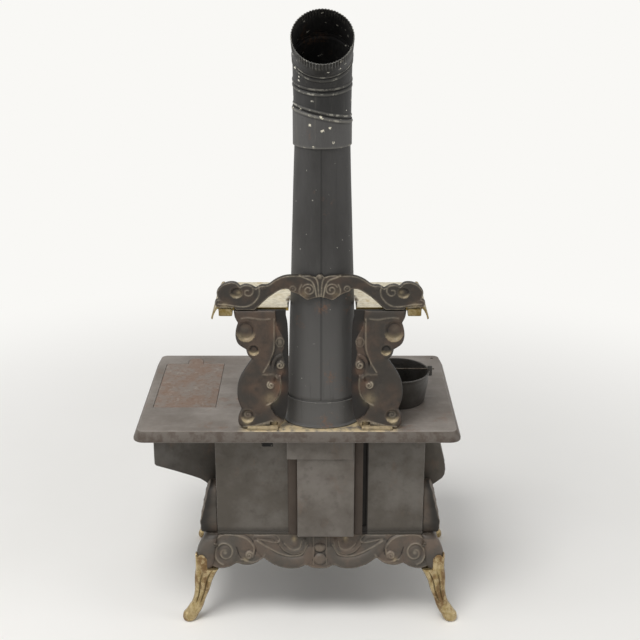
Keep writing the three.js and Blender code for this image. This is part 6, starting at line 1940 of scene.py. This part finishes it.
def make_leg_screws():
    """Four screws that hold the legs, placed by a tree on four points."""
    corners = ("back_left", "back_right", "front_left", "front_right")
    places = []
    turns = []
    for corner in corners:
        low, high = size_of(f"leg_screw_{corner}")
        at_back = corner.startswith("back")
        seat = high[1] - 2 if at_back else low[1] + 2
        places.append(((low[0] + high[0]) / 2 * MM, seat * MM, (low[2] + high[2]) / 2 * MM))
        turns.append((0, 0, 0 if at_back else math.pi))
    points = bpy.data.meshes.new("leg_screws")
    points.from_pydata(places, [], [])
    layer = points.attributes.new("turn", "FLOAT_VECTOR", "POINT")
    layer.data.foreach_set("vector", np.array(turns, np.float32).ravel())
    obj = placed_object("leg_screws", points)
    screw = placed_object("Leg screw", screw_shape())
    mesh = run_tree(obj, screw_tree(), {"Screw": screw, "Finish": finish_of("screw_steel")})
    bpy.data.objects.remove(screw)
    if len(mesh.polygons) == 0:
        raise RuntimeError("the leg screws came out empty")
    mesh.materials.clear()
    mesh.materials.append(finish_of("screw_steel"))
    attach(obj, STOVE)
    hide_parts(*(f"leg_screw_{corner}" for corner in corners))


# Camera, light and floor


BACKDROP = tone(249, 248, 245)
EYE = (CENTRE_X * MM, 1.5926, 1.0025)
EYE_PITCH = 70.2
LENS = 66.4
AIM = (CENTRE_X * MM, 0, 0.4)
FLOOR_REACH = 6.0
LAMPS = (
    # name, place, size, power
    ("High window", (0.5, 1.0, 2.3), 1.1, 34),
    ("Left wall", (2.0, 0.5, 1.0), 1.2, 8),
    ("Right wall", (-2.0, 0.7, 1.2), 1.2, 8),
)


def make_camera(scene):
    """The camera, level with the photograph's."""
    camera = bpy.data.cameras.new("Camera")
    camera.sensor_width = 36
    camera.lens = LENS
    camera.clip_start = 0.05
    camera.clip_end = 30
    eye = bpy.data.objects.new("Camera", camera)
    eye.location = EYE
    eye.rotation_euler = (math.radians(EYE_PITCH), 0, math.pi)
    scene.collection.objects.link(eye)
    scene.camera = eye


def make_lamps(scene):
    """Large soft lamps."""
    for name, place, size, power in LAMPS:
        lamp = bpy.data.lights.new(name, "AREA")
        lamp.shape = "DISK"
        lamp.size = size
        lamp.energy = power
        holder = bpy.data.objects.new(name, lamp)
        holder.location = place
        toward = Vector(AIM) - Vector(place)
        holder.rotation_euler = toward.to_track_quat("-Z", "Y").to_euler()
        scene.collection.objects.link(holder)


def make_floor(scene):
    """A pale floor that runs out into the backdrop's colour."""
    floor = bpy.data.meshes.new("Floor")
    corners = [(x * FLOOR_REACH, y * FLOOR_REACH, 0) for x, y in ((-1, -1), (1, -1), (1, 1), (-1, 1))]
    floor.from_pydata(corners, [], [(0, 1, 2, 3)])
    ground = bpy.data.objects.new("Floor", floor)
    scene.collection.objects.link(ground)
    finish = Finish("pale_floor")
    clouds = finish.noise(3, 3, 0.5)
    finish.done(finish.mix(clouds, tone(247, 245, 241), tone(240, 238, 233)), 0.7)
    length = finish.add("ShaderNodeVectorMath", {0: finish.place}, operation="LENGTH").outputs["Value"]
    beyond = finish.times(finish.step(length, 0.45, 1.5), seen_directly(finish.tree))
    glow = finish.add("ShaderNodeEmission", {"Color": BACKDROP}).outputs["Emission"]
    blend = finish.add("ShaderNodeMixShader", {0: beyond, 1: finish.shader.outputs["BSDF"], 2: glow})
    feed(finish.tree, finish.output.inputs["Surface"], blend.outputs["Shader"])
    floor.materials.append(finish.material)


def make_world(scene):
    """Soft light from all round, and the backdrop's colour where the background is seen."""
    world = bpy.data.worlds.new("Pale room")
    world.use_nodes = True
    tree = world.node_tree
    tree.nodes.clear()
    soft = add_node(tree, "ShaderNodeBackground", {"Color": (0.97, 0.98, 1), "Strength": 0.4}).outputs[0]
    pale = add_node(tree, "ShaderNodeBackground", {"Color": BACKDROP, "Strength": 1.0}).outputs[0]
    blend = add_node(tree, "ShaderNodeMixShader", {0: seen_directly(tree), 1: soft, 2: pale}).outputs[0]
    add_node(tree, "ShaderNodeOutputWorld", {"Surface": blend})
    scene.world = world


def make_stage():
    """Camera, soft light, pale floor and background."""
    scene = bpy.context.scene
    make_camera(scene)
    make_lamps(scene)
    make_floor(scene)
    make_world(scene)
    scene.view_settings.view_transform = "Standard"


# Operators and sidebar


class RangeStep:
    """What the steps share: each runs its makers in order."""

    makers = ()

    def execute(self, context):
        for maker in self.makers:
            maker()
        return {"FINISHED"}


class RANGE_OT_stage(RangeStep, Operator):
    """Adds the camera, the light and the floor"""

    bl_idname = "range.stage"
    bl_label = "Stage"
    makers = (make_stage,)


class RANGE_OT_plain_castings(RangeStep, Operator):
    """Makes the plates, doors, lids and boxes with eased edges"""

    bl_idname = "range.plain_castings"
    bl_label = "Plates, doors and lids"
    makers = (make_plain_castings,)


class RANGE_OT_inner_pieces(RangeStep, Operator):
    """Gives the pieces inside the stove their finishes"""

    bl_idname = "range.inner_pieces"
    bl_label = "Inner pieces"
    makers = (paint_inner_pieces,)


class RANGE_OT_legs(RangeStep, Operator):
    """Makes the four legs and their screws"""

    bl_idname = "range.legs"
    bl_label = "Legs"
    makers = (make_legs, make_leg_screws)


class RANGE_OT_skirts(RangeStep, Operator):
    """Makes the four scrolled skirts"""

    bl_idname = "range.skirts"
    bl_label = "Skirts"
    makers = (make_skirts, make_corners)


class RANGE_OT_end_scrolls(RangeStep, Operator):
    """Makes the leaf castings on the two ends"""

    bl_idname = "range.end_scrolls"
    bl_label = "End scrolls"
    makers = (make_end_scrolls,)


class RANGE_OT_brackets(RangeStep, Operator):
    """Makes the two shelf brackets"""

    bl_idname = "range.brackets"
    bl_label = "Shelf brackets"
    makers = (make_brackets,)


class RANGE_OT_shelf(RangeStep, Operator):
    """Makes the shelf with its lips, lugs and crest"""

    bl_idname = "range.shelf"
    bl_label = "Shelf and crest"
    makers = (make_shelf, make_shelf_edges, make_crest)


class RANGE_OT_pipe(RangeStep, Operator):
    """Makes the oval collar and the stovepipe"""

    bl_idname = "range.pipe"
    bl_label = "Stovepipe"
    makers = (make_collar, make_pipe)


class RANGE_OT_elbow(RangeStep, Operator):
    """Makes the four pieces of the turning elbow"""

    bl_idname = "range.elbow"
    bl_label = "Elbow"
    makers = (make_elbow,)


class RANGE_OT_kettle(RangeStep, Operator):
    """Makes the kettle and its bail"""

    bl_idname = "range.kettle"
    bl_label = "Kettle"
    makers = (make_kettle, make_bail)


STEPS = (
    RANGE_OT_stage,
    RANGE_OT_plain_castings,
    RANGE_OT_inner_pieces,
    RANGE_OT_legs,
    RANGE_OT_skirts,
    RANGE_OT_end_scrolls,
    RANGE_OT_brackets,
    RANGE_OT_shelf,
    RANGE_OT_pipe,
    RANGE_OT_elbow,
    RANGE_OT_kettle,
)


class RANGE_PT_panel(Panel):
    """Sidebar with the colours, the sizes and the steps"""

    bl_idname = "RANGE_PT_panel"
    bl_label = "Toy Cooking Range"
    bl_space_type = "VIEW_3D"
    bl_region_type = "UI"
    bl_category = "Range"

    def draw(self, context):
        for group in (context.scene.range_colours, context.scene.range_sizes):
            box = self.layout.box()
            for key in group.__annotations__:
                box.prop(group, key)
        for step in STEPS:
            self.layout.operator(step.bl_idname)


CLASSES = (RangeColours, RangeSizes, *STEPS, RANGE_PT_panel)


def register():
    """Registers the classes and adds the settings to the scene."""
    for entry in CLASSES:
        bpy.utils.register_class(entry)
    bpy.types.Scene.range_colours = PointerProperty(type=RangeColours)
    bpy.types.Scene.range_sizes = PointerProperty(type=RangeSizes)


def unregister():
    """Takes the settings and the classes away."""
    del bpy.types.Scene.range_sizes
    del bpy.types.Scene.range_colours
    for entry in reversed(CLASSES):
        bpy.utils.unregister_class(entry)


def main():
    """Makes the whole range."""
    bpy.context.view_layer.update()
    register()
    for step in STEPS:
        group, name = step.bl_idname.split(".")
        getattr(getattr(bpy.ops, group), name)()


if __name__ == "__main__":
    main()
